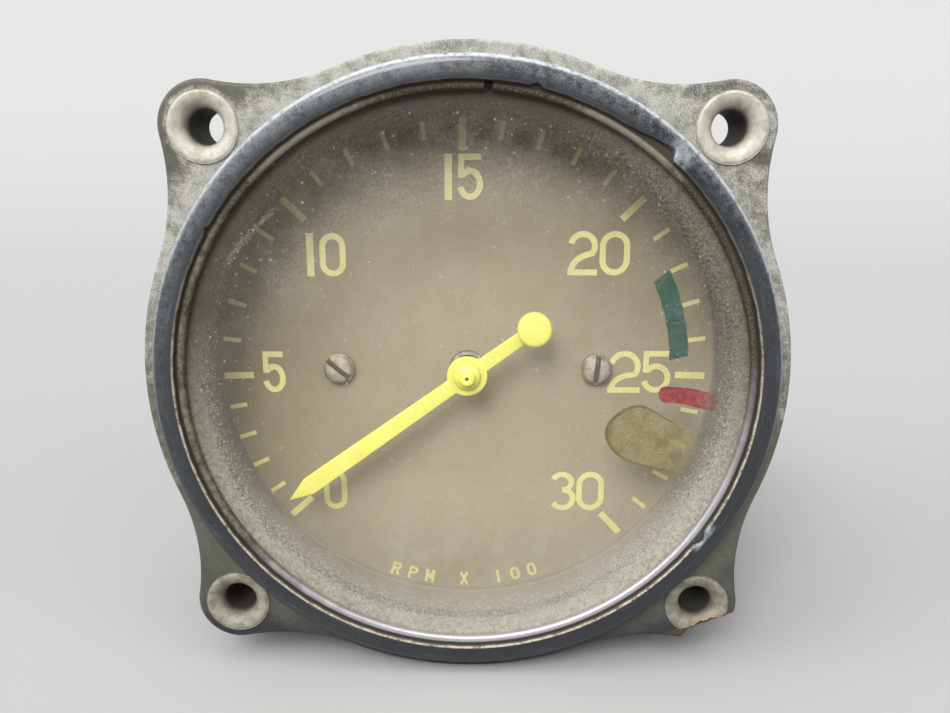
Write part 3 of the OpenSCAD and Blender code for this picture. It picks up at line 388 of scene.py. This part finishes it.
def screw_nickel():
    """Plated screw heads gone brown in patches, with painted shade in their slots, and darker round their feet."""
    f = Finish("screw_nickel")
    cloud, fine = f.noise(0.9, 5.0, 0.7), f.noise(0.25, 4.0, 0.7)
    tone = f.blend(f.fade(cloud, 0.36, 0.66), (0.58, 0.52, 0.405), (0.36, 0.3, 0.21))
    across = f.x.math("ABSOLUTE") - SCREW_X
    # Painted shade: near black on the floor of each slot.
    slot = f.fade(f.y, -3.2, -2.9) * f.fade((across * across + f.z * f.z) ** 0.5, 2.08, 1.9)
    tone = f.blend(slot * (0.55 + 0.4 * fine), tone, (0.06, 0.05, 0.035))
    # Darker round the foot of each head.
    tone = f.blend(f.fade(f.y, -2.7, -2.2) * 0.5, tone, (0.12, 0.1, 0.07))
    return f.close(tone, 0.42 + 0.25 * cloud, Metallic=0.5, Normal=f.bump(fine + cloud, 0.03, 0.5))


def set_jewel():
    """Red jewel held in a pale burnished setting, which shows round the staff through the hole of the dial."""
    f = Finish("set_jewel")
    cloud, fine = f.noise(0.8, 3.0, 0.6), f.noise(0.3, 4.0, 0.7)
    setting = f.fade(f.reach, 0.85, 0.95)
    tone = f.blend(cloud, (0.2, 0.006, 0.02), (0.34, 0.02, 0.045))
    tone = f.blend(setting, tone, f.blend(f.fade(cloud, 0.36, 0.66), (0.8, 0.76, 0.64), (0.6, 0.54, 0.42)))
    return f.close(tone, 0.15 + 0.25 * setting, Metallic=0.2 * setting, Normal=f.bump(fine, 0.02, 0.4))


def quads(rows, columns, round_rows, round_columns):
    """Corners of the faces between neighbouring points of a grid, joined up where it runs round."""
    at = np.arange(rows * columns).reshape(rows, columns)
    at = np.vstack([at, at[:1]]) if round_rows else at
    at = np.hstack([at, at[:, :1]]) if round_columns else at
    return np.stack([at[:-1, :-1], at[1:, :-1], at[1:, 1:], at[:-1, 1:]], -1).reshape(-1, 4)


def piece(name, grids, material, body, hides=(), film=False, sharp=40.0):
    """Lays grids of points in millimetres, each with its two closing flags, into one mesh that rides on a body.
    A film is a flat layer: it keeps its grid as a UV map and faces the front."""
    points, faces, start = [], [], 0
    for grid, round_rows, round_columns in grids:
        faces.append(quads(*grid.shape[:2], round_rows, round_columns) + start)
        points.append(grid.reshape(-1, 3) * MM)
        start += len(points[-1])
    points, faces = np.concatenate(points), np.concatenate(faces)
    mesh = bpy.data.meshes.new(name)
    mesh.from_pydata(points.tolist(), [], faces.tolist())
    if film:
        sides = [[np.linspace(0, 1, n) for n in grid.shape[1::-1]] for grid, _, _ in grids]
        share = [np.stack(np.meshgrid(*ends), -1).reshape(-1, 2) for ends in sides]
        mesh.uv_layers.new().data.foreach_set("uv", np.concatenate(share)[faces.ravel()].ravel())
        facing = np.zeros(len(faces) * 3)
        mesh.polygons.foreach_get("normal", facing)
        if facing[1::3].mean() > 0:
            mesh.flip_normals()
    else:
        shell = bmesh.new()
        shell.from_mesh(mesh)
        bmesh.ops.remove_doubles(shell, verts=shell.verts, dist=2e-7)
        bmesh.ops.recalc_face_normals(shell, faces=shell.faces)
        shell.to_mesh(mesh)
        shell.free()
        mesh.shade_smooth()
        mesh.set_sharp_from_angle(angle=np.radians(sharp))
    mesh.materials.append(material)
    made = bpy.data.objects.new(name, mesh)
    bpy.context.scene.collection.objects.link(made)
    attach(made, body)
    if hides:
        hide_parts(*hides)
    return made


def eased(corners, ease, n=6):
    """A closed row of corners with each corner c eased: c + t(1-s)^2 a + t s^2 b, for s from 0 to 1, where a and b
    are the directions of its two edges and t is how far the easing reaches along them."""
    c = np.asarray(corners, float)
    a, b = np.roll(c, 1, 0) - c, np.roll(c, -1, 0) - c
    a, b = (d / np.linalg.norm(d, axis=1, keepdims=True) for d in (a, b))
    t = np.broadcast_to(np.asarray(ease, float), len(c))[:, None, None]
    s = np.linspace(0, 1, n)[None, :, None]
    return (c[:, None] + t * (1 - s) ** 2 * a[:, None] + t * s ** 2 * b[:, None]).reshape(-1, 2)


def turned(profile, steps=240, first=0.0, sweep=360.0, chip=None):
    """A profile of radius and depth carried round the axis: x = r sin a, y = depth, z = r cos a. A chip takes
    radius, depth and clock angle and gives what to add to the radius and the depth."""
    r, y = np.asarray(profile, float).T[:, :, None] * np.ones(steps)
    a = first + np.linspace(0, sweep, steps, endpoint=sweep < 360) * np.ones_like(r)
    if chip:
        dr, dy = chip(r, y, a)
        r, y = r + dr, y + dy
    a = np.radians(a)
    return np.stack([r * np.sin(a), y, r * np.cos(a)], -1)


def moved(grid, x, z):
    """A grid carried to another axis."""
    return grid + np.array([x, 0.0, z])


BREAK_TURN, BREAK_AT = -68.0, 2.83


def broken_off(f):
    """How far a point of a finish lies from the lower right eyelet's middle, square to the line of the break."""
    a = np.radians(BREAK_TURN)
    return f.x * float(np.cos(a)) + f.z * float(np.sin(a)) - EAR_XZ * float(np.cos(a) - np.sin(a))


def break_reach(angle, slack):
    """Distance from the lower right eyelet's middle to the rough line along which its ear has broken off: the line's
    own distance and a slack, over the cosine of the angle from it."""
    way = np.mod(angle - BREAK_TURN + 180, 360) - 180
    rough = 0.07 * np.sin(way * 0.19) + 0.05 * np.sin(way * 0.47 + 1)
    across = np.cos(np.radians(way))
    return np.where(across > 0.15, (BREAK_AT + slack + rough) / np.maximum(across, 0.15), 99.0)


def rim_break(r, y, a):
    """The lower right eyelet's rim ends at the break; what lay beyond it is drawn down to its trumpet mouth."""
    end = np.minimum(r, break_reach(90 - a, 0.0))
    mouth_y = MOUTH_CENTRE_Y - MOUTH_R * np.sqrt(1 - np.clip((MOUTH_CENTRE_R - end) / MOUTH_R, 0, 1) ** 2)
    return end - r, np.where(r > end, np.maximum(mouth_y - y, 0), 0)


def hump(value, centre, width):
    """A smooth hump of height 1 about a centre."""
    return np.exp(-((value - centre) / width) ** 2)


def lip_chip(r, y, a):
    """Wear of the ring's lip: a wedge broken out towards clock 41, a nick at 124 and small dents elsewhere."""
    lip = np.clip((LIP + 1.0 - y) / 0.4, 0, 1) * np.clip((38.2 - r) / 0.5, 0, 1)
    wedge = np.clip((a - 29) / 11, 0, 1) ** 1.6 * np.clip((41.2 - a) / 0.8, 0, 1)
    dents = hump(a, 124, 1.6) * 0.8 + hump(a, 12.6, 0.9) * 0.5 + hump(a, 302, 0.5) * 0.2
    worn = 0.05 * np.sin(np.radians(a) * 23) * np.sin(np.radians(a) * 61 + 1)
    depth = lip * (1.05 * wedge + dents + worn)
    return depth, lip * (0.35 * wedge + 0.3 * dents)


def arc(centre, r, start, end, n):
    """Points of an arc, without its last one; its radius may change along it."""
    a = np.radians(np.linspace(start, end, n, endpoint=False))
    return np.asarray(centre) + np.stack([r * np.cos(a), r * np.sin(a)], -1)


BLEND_REACH = FLANGE_R + BLEND_R
BLEND_TURN = np.degrees(np.arccos((BLEND_REACH ** 2 + EAR_REACH ** 2 - (EAR_R + BLEND_R) ** 2)
                                  / (2 * BLEND_REACH * EAR_REACH)))
BLEND_SIN, BLEND_COS = (BLEND_REACH * f(np.radians(BLEND_TURN)) for f in (np.sin, np.cos))
BLEND_END = np.degrees(np.arctan2(BLEND_SIN, EAR_REACH - BLEND_COS))
WALL_R = (LIP_R + CASE_R) / 2
N_BLEND, N_EAR, N_ROUND = 20, 40, 24
EAR_POINTS = 2 * N_BLEND + N_EAR
LOOP = EAR_POINTS + N_ROUND


def swung(points, turn):
    """Sketch points turned about the axis."""
    c, s = np.cos(np.radians(turn)), np.sin(np.radians(turn))
    return points @ np.array([[c, s], [-s, c]])


def flange_line(inset, slack):
    """Outline of the flange drawn in by inset: at each ear a hollow blend, the ear's arc and a hollow blend, then the
    round of the flange. The ear at the lower right ends at its break."""
    rows = []
    for turn in EAR_TURNS:
        way = np.linspace(BLEND_END - 180, 180 - BLEND_END, N_EAR, endpoint=False)
        ear_r = np.minimum(EAR_R - inset, break_reach(turn + way, slack) if turn == 315 else EAR_R)
        rows.append(swung(np.concatenate([
            arc((BLEND_COS, -BLEND_SIN), BLEND_R + inset, 180 - BLEND_TURN, BLEND_END, N_BLEND),
            arc((EAR_REACH, 0), ear_r, BLEND_END - 180, 180 - BLEND_END, N_EAR),
            arc((BLEND_COS, BLEND_SIN), BLEND_R + inset, -BLEND_END, BLEND_TURN - 180, N_BLEND),
            arc((0, 0), FLANGE_R - inset, BLEND_TURN, 90 - BLEND_TURN, N_ROUND)]), turn))
    return np.concatenate(rows)


def at_depth(sketch, y):
    """Sketch points set at a depth."""
    return np.stack([sketch[..., 0], np.full(sketch.shape[:-1], y), sketch[..., 1]], -1)


def flange_grids():
    """The flange: its eased edge carried round the outline, and its faces ruled from the outline to the eyelet holes
    and to a circle inside the ring."""
    s = np.linspace(0, 90, 6)
    ease = 0.45
    insets = np.concatenate([ease * (1 - np.sin(np.radians(s))), [0, 0, 0], ease * (1 - np.cos(np.radians(s)))])
    depths = np.concatenate([FACE + ease * (1 - np.cos(np.radians(s))), FACE + np.array([1.2, 2.6, 5.0]),
                             -ease * (1 - np.sin(np.radians(s)))])
    lines = np.stack([flange_line(e, 0.25 + 0.42 * (d - FACE)) for e, d in zip(insets, depths)])
    grids = [(np.stack([lines[..., 0], np.broadcast_to(depths[:, None], lines.shape[:2]), lines[..., 1]], -1), 0, 1)]
    for face, hole_r in ((0, 4.05), (-1, EYELET_HOLE_R)):
        line, depth = np.vstack([lines[face], lines[face][:1]]), depths[face]
        for ear, turn in enumerate(EAR_TURNS):
            first = ear * LOOP
            inner = swung(arc((0, 0), WALL_R, BLEND_TURN, -BLEND_TURN, 24), turn)
            edge = np.vstack([line[first:first + EAR_POINTS + 1], inner,
                              swung(arc((0, 0), WALL_R, -BLEND_TURN, 0, 1), turn)])
            middle = swung(np.array([[EAR_REACH, 0.0]]), turn)
            out = edge - middle
            away = np.linalg.norm(out, axis=1, keepdims=True)
            out /= away
            mouth_r = np.minimum(hole_r, away - 0.03)
            grids.append((np.stack([at_depth(edge, depth), at_depth(middle + mouth_r * out, depth)]), 0, 1))
            if face == 0:
                steps = ((mouth_r, FACE), (EYELET_HOLE_R, FACE + 2.65), (EYELET_HOLE_R, 0.0))
                grids.append((np.stack([at_depth(middle + r * out, y) for r, y in steps]), 0, 1))
            round_out = line[first + EAR_POINTS:first + LOOP + 1]
            round_in = swung(arc((0, 0), WALL_R, BLEND_TURN, 90 - BLEND_TURN + (90 - 2 * BLEND_TURN) / N_ROUND,
                                 N_ROUND + 1), turn)
            grids.append((np.stack([at_depth(round_out, depth), at_depth(round_in, depth)]), 0, 0))
    return grids


def case_profile():
    """Section of the moulded case: lip, crowned ring, barrel with its rear corner, rear wall and glass seat."""
    corners = [(LIP_R, LIP), (BEZEL_R, LIP + 0.42), (BEZEL_R, -8.2), (CASE_R, -1.0), (CASE_R - 0.4, BARREL_END),
               (18.6, BARREL_END), (18.6, REAR_FACE), (9.3, REAR_FACE), (9.3, INNER_END), (BORE_R - 0.4, INNER_END),
               (BORE_R, LEDGE), (LIP_R, LEDGE), (LIP_R, GLASS), (GROOVE_R, GLASS), (GROOVE_R, GROOVE), (LIP_R, GROOVE)]
    return eased(corners, [0.35, 1.15, 0, 0, 5.5, 0.4, 0.25, 0.2, 0, 0.6, 0.1, 0, 0, 0, 0, 0.1], 8)


def stroke(path, width):
    """A ribbon of that width along a path: each point goes half the width to either side, square to the path."""
    way = np.gradient(path, axis=0)
    way /= np.linalg.norm(way, axis=1, keepdims=True)
    side = np.stack([-way[:, 1], way[:, 0]], -1) * width / 2
    return np.stack([path - side, path + side])


def oval(centre, a, b, start, end, n=40):
    """Points of an oval from one angle to another."""
    t = np.radians(np.linspace(start, end, n))
    return np.stack([centre[0] + a * np.cos(t), centre[1] + b * np.sin(t)], -1)


def line(*points):
    """Corners of a straight or bent line."""
    return np.array(points, float)


def bow(a, b, c, n=20):
    """A bent line from a to c drawn towards b: (1-s)^2 a + 2 s (1-s) b + s^2 c, for s from 0 to 1."""
    s = np.linspace(0, 1, n)[1:, None]
    return (1 - s) ** 2 * np.array(a) + 2 * s * (1 - s) * np.array(b) + s ** 2 * np.array(c)


def glyph(sign, w, h, pen):
    """Strokes of a plain sign in a box w wide and h high about its middle, drawn with a pen of that width."""
    a, b = (w - pen) / 2, (h - pen) / 2
    if sign == "1":
        return [stroke(line((0, -h / 2), (0, h / 2)), w)]
    if sign == "0":
        turn = np.concatenate([oval((0, b - a), a, a, 0, 180), oval((0, a - b), a, a, 180, 360), [[a, b - a]]])
        return [stroke(turn, pen)]
    if sign == "5":
        low = 0.7 * h / 2 - pen / 2
        bowl = oval((0, low - b), a, low, 146, -166)
        return [stroke(bowl, pen), stroke(line((-a, b), (a + pen * 0.2, b)), pen),
                stroke(line((-a + 0.04 * w, b + pen / 2), bowl[0] - (0.1, 0.16)), pen * 0.95)]
    if sign == "2":
        arch = oval((0, b - a), a, a, 168, -38)
        sweep = bow(arch[-1], (-a, -b * 0.22), (-a, -h / 2), 24)
        return [stroke(np.concatenate([arch, sweep]), pen), stroke(line((-w / 2, -b), (w / 2, -b)), pen)]
    if sign == "3":
        up, down = b * 0.47, b * 0.55
        return [stroke(oval((-0.1, b - up), a * 0.9, up, 158, -88), pen),
                stroke(oval((0, down - b), a, down, 92, -152), pen)]
    stem = stroke(line((-a, -h / 2), (-a, h / 2)), pen)
    bowl = stroke(np.concatenate([line((-a, b)), oval((a - b * 0.48, b * 0.52), b * 0.48, b * 0.48, 90, -90, 16),
                                  line((-a, b * 0.04))]), pen)
    if sign == "P":
        return [stem, bowl]
    if sign == "R":
        return [stem, bowl, stroke(line((0, b * 0.04), (a, -h / 2)), pen)]
    if sign == "M":
        return [stem, stroke(line((a, -h / 2), (a, h / 2)), pen), stroke(line((-a, h / 2), (0, -b * 0.6)), pen),
                stroke(line((a, h / 2), (0, -b * 0.6)), pen)]
    if sign == "X":
        return [stroke(line((-a, -h / 2), (a, h / 2)), pen), stroke(line((a, -h / 2), (-a, h / 2)), pen)]
    return []


PRINT = DIAL - 0.03
SCALE_X = -0.52
FIGURE_PEN, LEGEND_PEN = 0.8, 0.4
TICK_IN, FIVE_IN, TICK_OUT = 30.42, 28.79, 32.83
# Sign, middle x and z, width and height of each figure on the dial
FIGURES = (("5", -26.52, -0.67, 3.16, 5.79), ("1", -20.81, 15.37, 0.95, 5.73), ("0", -17.84, 15.38, 3.44, 5.72),
           ("1", -2.50, 25.47, 0.98, 5.84), ("5", 0.30, 25.48, 3.35, 5.84), ("2", 15.14, 15.68, 3.94, 5.85),
           ("0", 19.35, 15.70, 3.98, 5.84), ("2", 21.34, -0.45, 4.43, 5.91), ("5", 25.67, -0.43, 3.98, 5.91),
           ("3", 13.43, -17.97, 3.70, 5.84), ("0", 17.32, -17.94, 3.89, 5.83), ("0", -18.74, -17.90, 3.32, 5.92))


def layered(strokes):
    """Strokes laid on the dial one over another, each a hair nearer the front than the one before."""
    return [(at_depth(s, PRINT - 0.01 * k), 0, 0) for k, s in enumerate(strokes)]


def figure_grids():
    """The figures' strokes, each moved to its place on the dial."""
    return [g for sign, x, z, w, h in FIGURES for g in layered([s + (x, z) for s in glyph(sign, w, h, FIGURE_PEN)])]


def legend_grids(words, reach, step):
    """The legend's signs along an arc below the centre, their tops towards it, step degrees apart."""
    grids = []
    for k, sign in enumerate(words):
        c = np.radians(180 - (k - (len(words) - 1) / 2) * step)
        right, up = np.array([-np.cos(c), np.sin(c)]), -np.array([np.sin(c), np.cos(c)])
        grids += layered([s[..., :1] * right + s[..., 1:] * up - reach * up + (SCALE_X, 0)
                          for s in glyph(sign, LEGEND_PEN if sign == "1" else 1.35, 2.0, LEGEND_PEN)])
    return grids


def tick_grids():
    """Ticks from 0 to 30: a bar at each clock angle, longer and wider at every fifth."""
    n = np.arange(31)
    turn = np.radians(np.where(n < 5, -131.5 + 7.858 * n, -0.27 + 9.19 * (n - 15)))
    five = n % 5 == 0
    inner, half = np.where(five, FIVE_IN, TICK_IN), np.where(five, 0.46, 0.3)
    out = np.stack([np.sin(turn), np.cos(turn)], -1)
    side = np.stack([np.cos(turn), -np.sin(turn)], -1)
    bars = np.stack([np.stack([r[:, None] * out + s * half[:, None] * side for s in (-1, 1)], 1)
                     for r in (inner, np.full(31, TICK_OUT))], 1) + (SCALE_X, 0)
    return [(at_depth(bar, PRINT), 0, 0) for bar in bars]


def green_grids():
    """The green range: a band of radius against clock angle with slightly uneven brushed sides."""
    a = np.linspace(63.6, 86.9, 60)
    wave = 0.04 * np.sin(a * 1.3) + 0.02 * np.sin(a * 4.1)
    r = np.linspace(27.4, 29.95, 6)[:, None] + wave
    turn = np.radians(a + 0.5 * np.linspace(1, -1, 6)[:, None])
    return [(at_depth(np.stack([r * np.sin(turn), r * np.cos(turn)], -1), PRINT - 0.01), 0, 0)]


def red_grids():
    """The red line on the glass: a brush mark along a spoke, round at its inner end, a little wavy at its sides."""
    s, t = np.meshgrid(np.linspace(0, 1, 60), np.linspace(-1, 1, 16))
    along = 24.4 + 9.9 * s
    half = 1.12 * np.sqrt(np.clip(1 - (1 - np.clip(s / 0.1, 0, 1)) ** 2, 0, 1)) * (1 + 0.1 * np.sin(9 * s + 2 * t))
    c = np.radians(93.7)
    out, side = np.array([np.sin(c), np.cos(c)]), np.array([np.cos(c), -np.sin(c)])
    sketch = along[..., None] * out + (t * half + 0.9 * s - 0.5)[..., None] * side
    return [(at_depth(sketch, GLASS - 0.03), 0, 0)]


def stain_grids():
    """The stain on the glass: shares of the way from its middle to a closed outline through measured points."""
    knots = np.array([(17.6, -6.6), (18.6, -4.2), (20.9, -2.7), (23.4, -3.0), (26.0, -4.6), (29.0, -6.4), (31.6, -8.6),
                      (32.6, -11.0), (31.5, -12.9), (28.6, -12.6), (25.2, -11.7), (21.6, -10.8), (18.9, -9.2)])
    wave = np.fft.fft(knots[:, 0] + 1j * knots[:, 1]) / len(knots)
    order = np.fft.fftfreq(len(knots), 1 / len(knots))
    t = np.linspace(0, 2 * np.pi, 120, endpoint=False)
    edge = (wave[:, None] * np.exp(1j * order[:, None] * t)).sum(0)
    middle = 24.3 - 7.6j
    shares = np.linspace(0, 1, 14)[:, None] ** 0.7
    sketch = middle + shares * (edge - middle)
    return [(at_depth(np.stack([sketch.real, sketch.imag], -1), GLASS - 0.02), 0, 1)]


def blade_grid():
    """The pointer's sheet: an eased section carried from the tail to the tip, as wide there as the widest of the
    blade, the round hub and the round tail."""
    turn = np.linspace(0, np.pi, 33)
    s = np.concatenate([-TAIL - WEIGHT_R * np.cos(turn), -HUB_R * np.cos(turn), np.linspace(4, SHOULDER, 8),
                        np.linspace(27, TIP, 10)])
    taper = 0.85 + (s + TAIL) / (SHOULDER + TAIL) * 0.4
    blade = np.where(s < SHOULDER, taper, 1.25 * (TIP - s) / (TIP - SHOULDER)) * (s >= -TAIL)
    rounds = [np.sqrt(np.clip(r ** 2 - (s - c) ** 2, 0, None)) for r, c in ((HUB_R, 0.0), (WEIGHT_R, -TAIL))]
    half = np.maximum.reduce([blade, *rounds])
    section = eased([(-1, 0), (1, 0), (1, 0.5), (-1, 0.5)], [0.1, 0.1, 0.04, 0.04], 5)
    across = section[None, :, 0] * half[:, None]
    depth = POINTER + section[None, :, 1] * np.ones_like(half)[:, None]
    return spun(np.stack([across, depth, s[:, None] * np.ones_like(across)], -1))


def eyelet_profile():
    """Section of an eyelet: its tube, a mouth that opens along a quarter of a circle, and its eased rim."""
    a = np.radians(np.linspace(0, 90, 20))
    mouth = np.stack([MOUTH_CENTRE_R - MOUTH_R * np.cos(a), MOUTH_CENTRE_Y - MOUTH_R * np.sin(a)], -1)
    rim = eased([(4.3, -9.5), (4.3, FACE), (4.0, FACE), (2.95, -6.55)], [0.16, 0, 0, 0], 5)
    return np.concatenate([[(2.95, 0.0), (2.15, 0.0)], mouth, rim])


def end_cap(row):
    """A closed row of points ruled to its middle."""
    return np.stack([row, np.broadcast_to(row.mean(0), row.shape)]), 0, 1


def spun(grid):
    """A grid drawn with the pointer at twelve, turned to the pointer's rest."""
    c, s = np.cos(np.radians(REST)), np.sin(np.radians(REST))
    return np.stack([grid[..., 0] * c + grid[..., 2] * s, grid[..., 1], grid[..., 2] * c - grid[..., 0] * s], -1)


def disc(profile, ease, steps=72, x=0.0, z=0.0):
    """A small turned piece about an axis of its own."""
    return moved(turned(eased(profile, ease), steps), x, z), 1, 1


def nipple_thread(r, y, a):
    """Thread of the drive nipple: the radius falls and rises with the share of a pitch that depth and turn leave."""
    pitch, depth = 1.411, 0.72
    share = np.mod((y - 56.8) / pitch - a / 360, 1.0)
    groove = np.clip(1.25 - np.abs(share - 0.5) * 2.9, 0, 1) * depth
    on = np.clip((y - 56.7) / 0.5, 0, 1) * np.clip((66.0 - y) / 0.5, 0, 1) * (r > 10.9)
    return -groove * on, 0.0


def housing_profile():
    """Section of the drive housing: spigot, flange, relief, nipple with close rows for its thread, and bores."""
    rows = np.stack([np.full(96, NIPPLE_R), np.linspace(THREAD_START, THREAD_END, 96)], -1)
    before = eased([(6.25, 37.5), (9.0, 37.5), (9.0, 51.5), (17.1, 51.5), (17.1, 54.5), (10.31, 54.5),
                    (10.31, THREAD_START)],
                   [0, 0.3, 0, 0.2, 0.35, 0.3, 0], 5)
    after = eased([(10.31, 67.0), (7.8, 67.0), (7.8, 61.2), (7.5, 61.2), (7.5, 58.0), (6.25, 58.0)],
                  [0.1, 0.35, 0, 0.05, 0, 0.1], 5)
    return np.concatenate([before, rows, after])


paint = {
    "phenolic": phenolic(), "eyelet_metal": eyelet_metal(), "ring_steel": ring_steel(), "glass": dusty_glass(),
    "gasket": gasket_cork(), "dial_paint": dial_paint(), "pointer_yellow": yellow_enamel(), "jewel": set_jewel(),
    "screw_nickel": screw_nickel(),
    "brass": worn_metal("brass", (0.60, 0.43, 0.17), (0.38, 0.26, 0.10), 0.3, 3.0, ringed=True),
    "bush_metal": worn_metal("bush_metal", (0.66, 0.62, 0.5), (0.34, 0.29, 0.2), 0.45, 0.8, 0.3),
    "steel": worn_metal("steel", (0.46, 0.46, 0.46), (0.27, 0.26, 0.25), 0.3, 2.0),
    "housing_alloy": worn_metal("housing_alloy", (0.56, 0.56, 0.55), (0.36, 0.35, 0.33), 0.38, 3.0, 0.9, ringed=True),
    "spring_steel": worn_metal("spring_steel", (0.16, 0.2, 0.34), (0.1, 0.12, 0.2), 0.25, 2.0),
    "magnet_alloy": worn_metal("magnet_alloy", (0.2, 0.2, 0.21), (0.11, 0.11, 0.12), 0.45, 2.0, 0.8),
    "cup_aluminium": worn_metal("cup_aluminium", (0.68, 0.69, 0.7), (0.5, 0.5, 0.5), 0.28, 3.0, ringed=True),
}
finish_of = {
    "cover_glass": "glass", "glass_gasket": "gasket", "housing_gasket": "gasket", "dial_plate": "dial_paint",
    "dial_screws": "screw_nickel", "dial_posts": "brass", "front_plate": "brass", "pillars": "brass",
    "base_plate": "brass", "front_bush": "brass", "rear_bush": "brass", "spring_collet": "brass", "stop_arm": "brass",
    "cup_hub": "brass", "magnet_hub": "brass", "front_jewel": "jewel", "rear_jewel": "jewel",
    "hairspring": "spring_steel", "pointer_staff": "spring_steel", "magnet": "magnet_alloy",
    "drag_cup": "cup_aluminium",
}
for name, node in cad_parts.items():
    node.data.materials.clear()
    node.data.materials.append(paint[finish_of.get(name, "steel")])

piece("case", [(turned(case_profile(), 720, chip=lip_chip), 1, 1), *flange_grids()], paint["phenolic"], "case",
      ["case_shell"], sharp=35)

piece("eyelets", [(moved(turned(eyelet_profile(), 144, chip=rim_break if k == 1 else None), EAR_REACH * np.sin(a),
                         EAR_REACH * np.cos(a)), 1, 1) for k, a in enumerate(np.radians(EAR_TURNS))],
      paint["eyelet_metal"], "case", ["mounting_eyelets"])

wire = eased([(35.65, GLASS), (35.65, GROOVE), (37.45, GROOVE), (37.45, GLASS)], [0.5, 0.55, 0.15, 0.05])
open_ring = turned(wire, 360, 4.8, 358.4)
piece("glass_ring", [(open_ring, 1, 0), end_cap(open_ring[:, 0]), end_cap(open_ring[:, -1])], paint["ring_steel"],
      "case", ["snap_ring"])

piece("dial_bush", [disc([(1.75, DIAL + 0.2), (2.46, DIAL + 0.2), (2.46, DIAL + 0.7), (1.75, DIAL + 0.7)],
                         [0.12, 0.08, 0.0, 0.0])], paint["bush_metal"], "case")

figures = printed_paint("figure_paint", (0.79, 0.735, 0.285), (0.58, 0.525, 0.265))
green = printed_paint("green_paint", (0.022, 0.088, 0.05), (0.05, 0.13, 0.08))
piece("dial_figures", figure_grids(), figures, "case", film=True)
piece("dial_ticks", tick_grids(), figures, "case", film=True)
piece("dial_legend", legend_grids("RPM X 100", 31.7, 4.5), figures, "case", film=True)
piece("green_range", green_grids(), green, "case", film=True)
piece("red_line", red_grids(), red_line_paint(), "case", film=True)
piece("glass_stain", stain_grids(), varnish_stain(), "case", film=True)

tail = np.radians(REST + 180)
tail_x, tail_z = TAIL * np.sin(tail), TAIL * np.cos(tail)
piece("pointer_blade", [(blade_grid(), 0, 1)], paint["pointer_yellow"], "pointer_assembly",
      ["pointer"])
piece("pointer_cap", [disc([(0.24, -7.95), (1.0, -7.95), (1.12, -7.25), (1.72, -6.95), (1.8, POINTER), (1.1, POINTER),
                            (1.1, -6.0), (1.6, -6.0), (1.6, -4.4), (0.65, -4.4), (0.65, -7.7), (0.24, -7.7)],
                           [0.06, 0.3, 0.12, 0.22, 0.02, 0, 0, 0.1, 0.1, 0, 0, 0])],
      paint["pointer_yellow"], "pointer_assembly", ["pointer_boss"])
piece("pointer_weight", [disc([(0.0, -7.7), (WEIGHT_R, -7.7), (WEIGHT_R, POINTER), (0.6, POINTER), (0.6, -6.0),
                               (1.2, -6.0), (1.2, -5.7), (0.0, -5.7)], [0, 0.62, 0.05, 0, 0, 0.1, 0.1, 0],
                              x=tail_x, z=tail_z)],
      paint["pointer_yellow"], "pointer_assembly", ["balance_weight"])

piece("drive_inlet", [(turned(housing_profile(), 144, chip=nipple_thread), 1, 1)], paint["housing_alloy"], "case",
      ["drive_housing"], sharp=50)


def stage():
    """A pale floor that sweeps up behind the part, a soft key light, broad lights above and at either side, a faint
    world and the camera."""
    f = Finish("floor")
    seen = sum((f.node("ShaderNodeLightPath", out=kind) for kind in ("Is Glossy Ray", "Is Transmission Ray")),
               f.node("ShaderNodeLightPath", out="Is Camera Ray"))
    f.close(f.blend(seen, (0.19, 0.19, 0.19), (0.4, 0.4, 0.395)), 0.8)
    s = np.linspace(0, np.pi / 2, 40)
    y = np.concatenate([[-3.0], 0.4 + 1.6 * np.sin(s), [2.0]])
    z = np.concatenate([[0], 1.6 * (1 - np.cos(s)), [4.0]]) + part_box("case_shell")[0].z
    x = np.array([-5.0, 5.0])
    points = np.stack([np.broadcast_to(x, (len(y), 2)), y[:, None] * np.ones(2), z[:, None] * np.ones(2)], -1)
    mesh = bpy.data.meshes.new("floor")
    mesh.from_pydata(points.reshape(-1, 3).tolist(), [], quads(len(y), 2, 0, 0).tolist())
    mesh.shade_smooth()
    mesh.materials.append(f.material)
    floor = bpy.data.objects.new("floor", mesh)
    bpy.context.scene.collection.objects.link(floor)

    lamps = (("key", 28.0, 2.35, (-0.31, -1.0, 0.865)), ("top", 60.0, 2.0, (-0.15, -0.25, 1.0)),
             ("left", 50.0, 1.5, (-0.8, -0.35, 0.52)), ("right", 50.0, 0.9, (0.7, -0.5, 0.5)))
    for name, spread, energy, way in lamps:
        lamp = bpy.data.lights.new(name, "SUN")
        lamp.angle, lamp.energy = np.radians(spread), energy
        hung = bpy.data.objects.new(name, lamp)
        hung.rotation_euler = Vector(way).to_track_quat("Z", "Y").to_euler()
        bpy.context.scene.collection.objects.link(hung)

    world = bpy.data.worlds.new("studio")
    bpy.context.scene.world = world
    world.use_nodes = True
    world.node_tree.nodes["Background"].inputs["Color"].default_value = (0.9, 0.94, 1.0, 1.0)
    world.node_tree.nodes["Background"].inputs["Strength"].default_value = 0.14

    lens = bpy.data.cameras.new("camera")
    sensor, focal_share = 36.0, 812 / 950
    lens.sensor_width, lens.lens, lens.clip_start = sensor, sensor * focal_share, 0.005
    camera = bpy.data.objects.new("camera", lens)
    camera.location = (0.00188, -0.10919, 0.02837)
    camera.rotation_euler = np.radians((75.979, -0.128, 0.508))
    bpy.context.scene.collection.objects.link(camera)
    bpy.context.scene.camera = camera
    bpy.context.scene.view_settings.view_transform = "Standard"


stage()
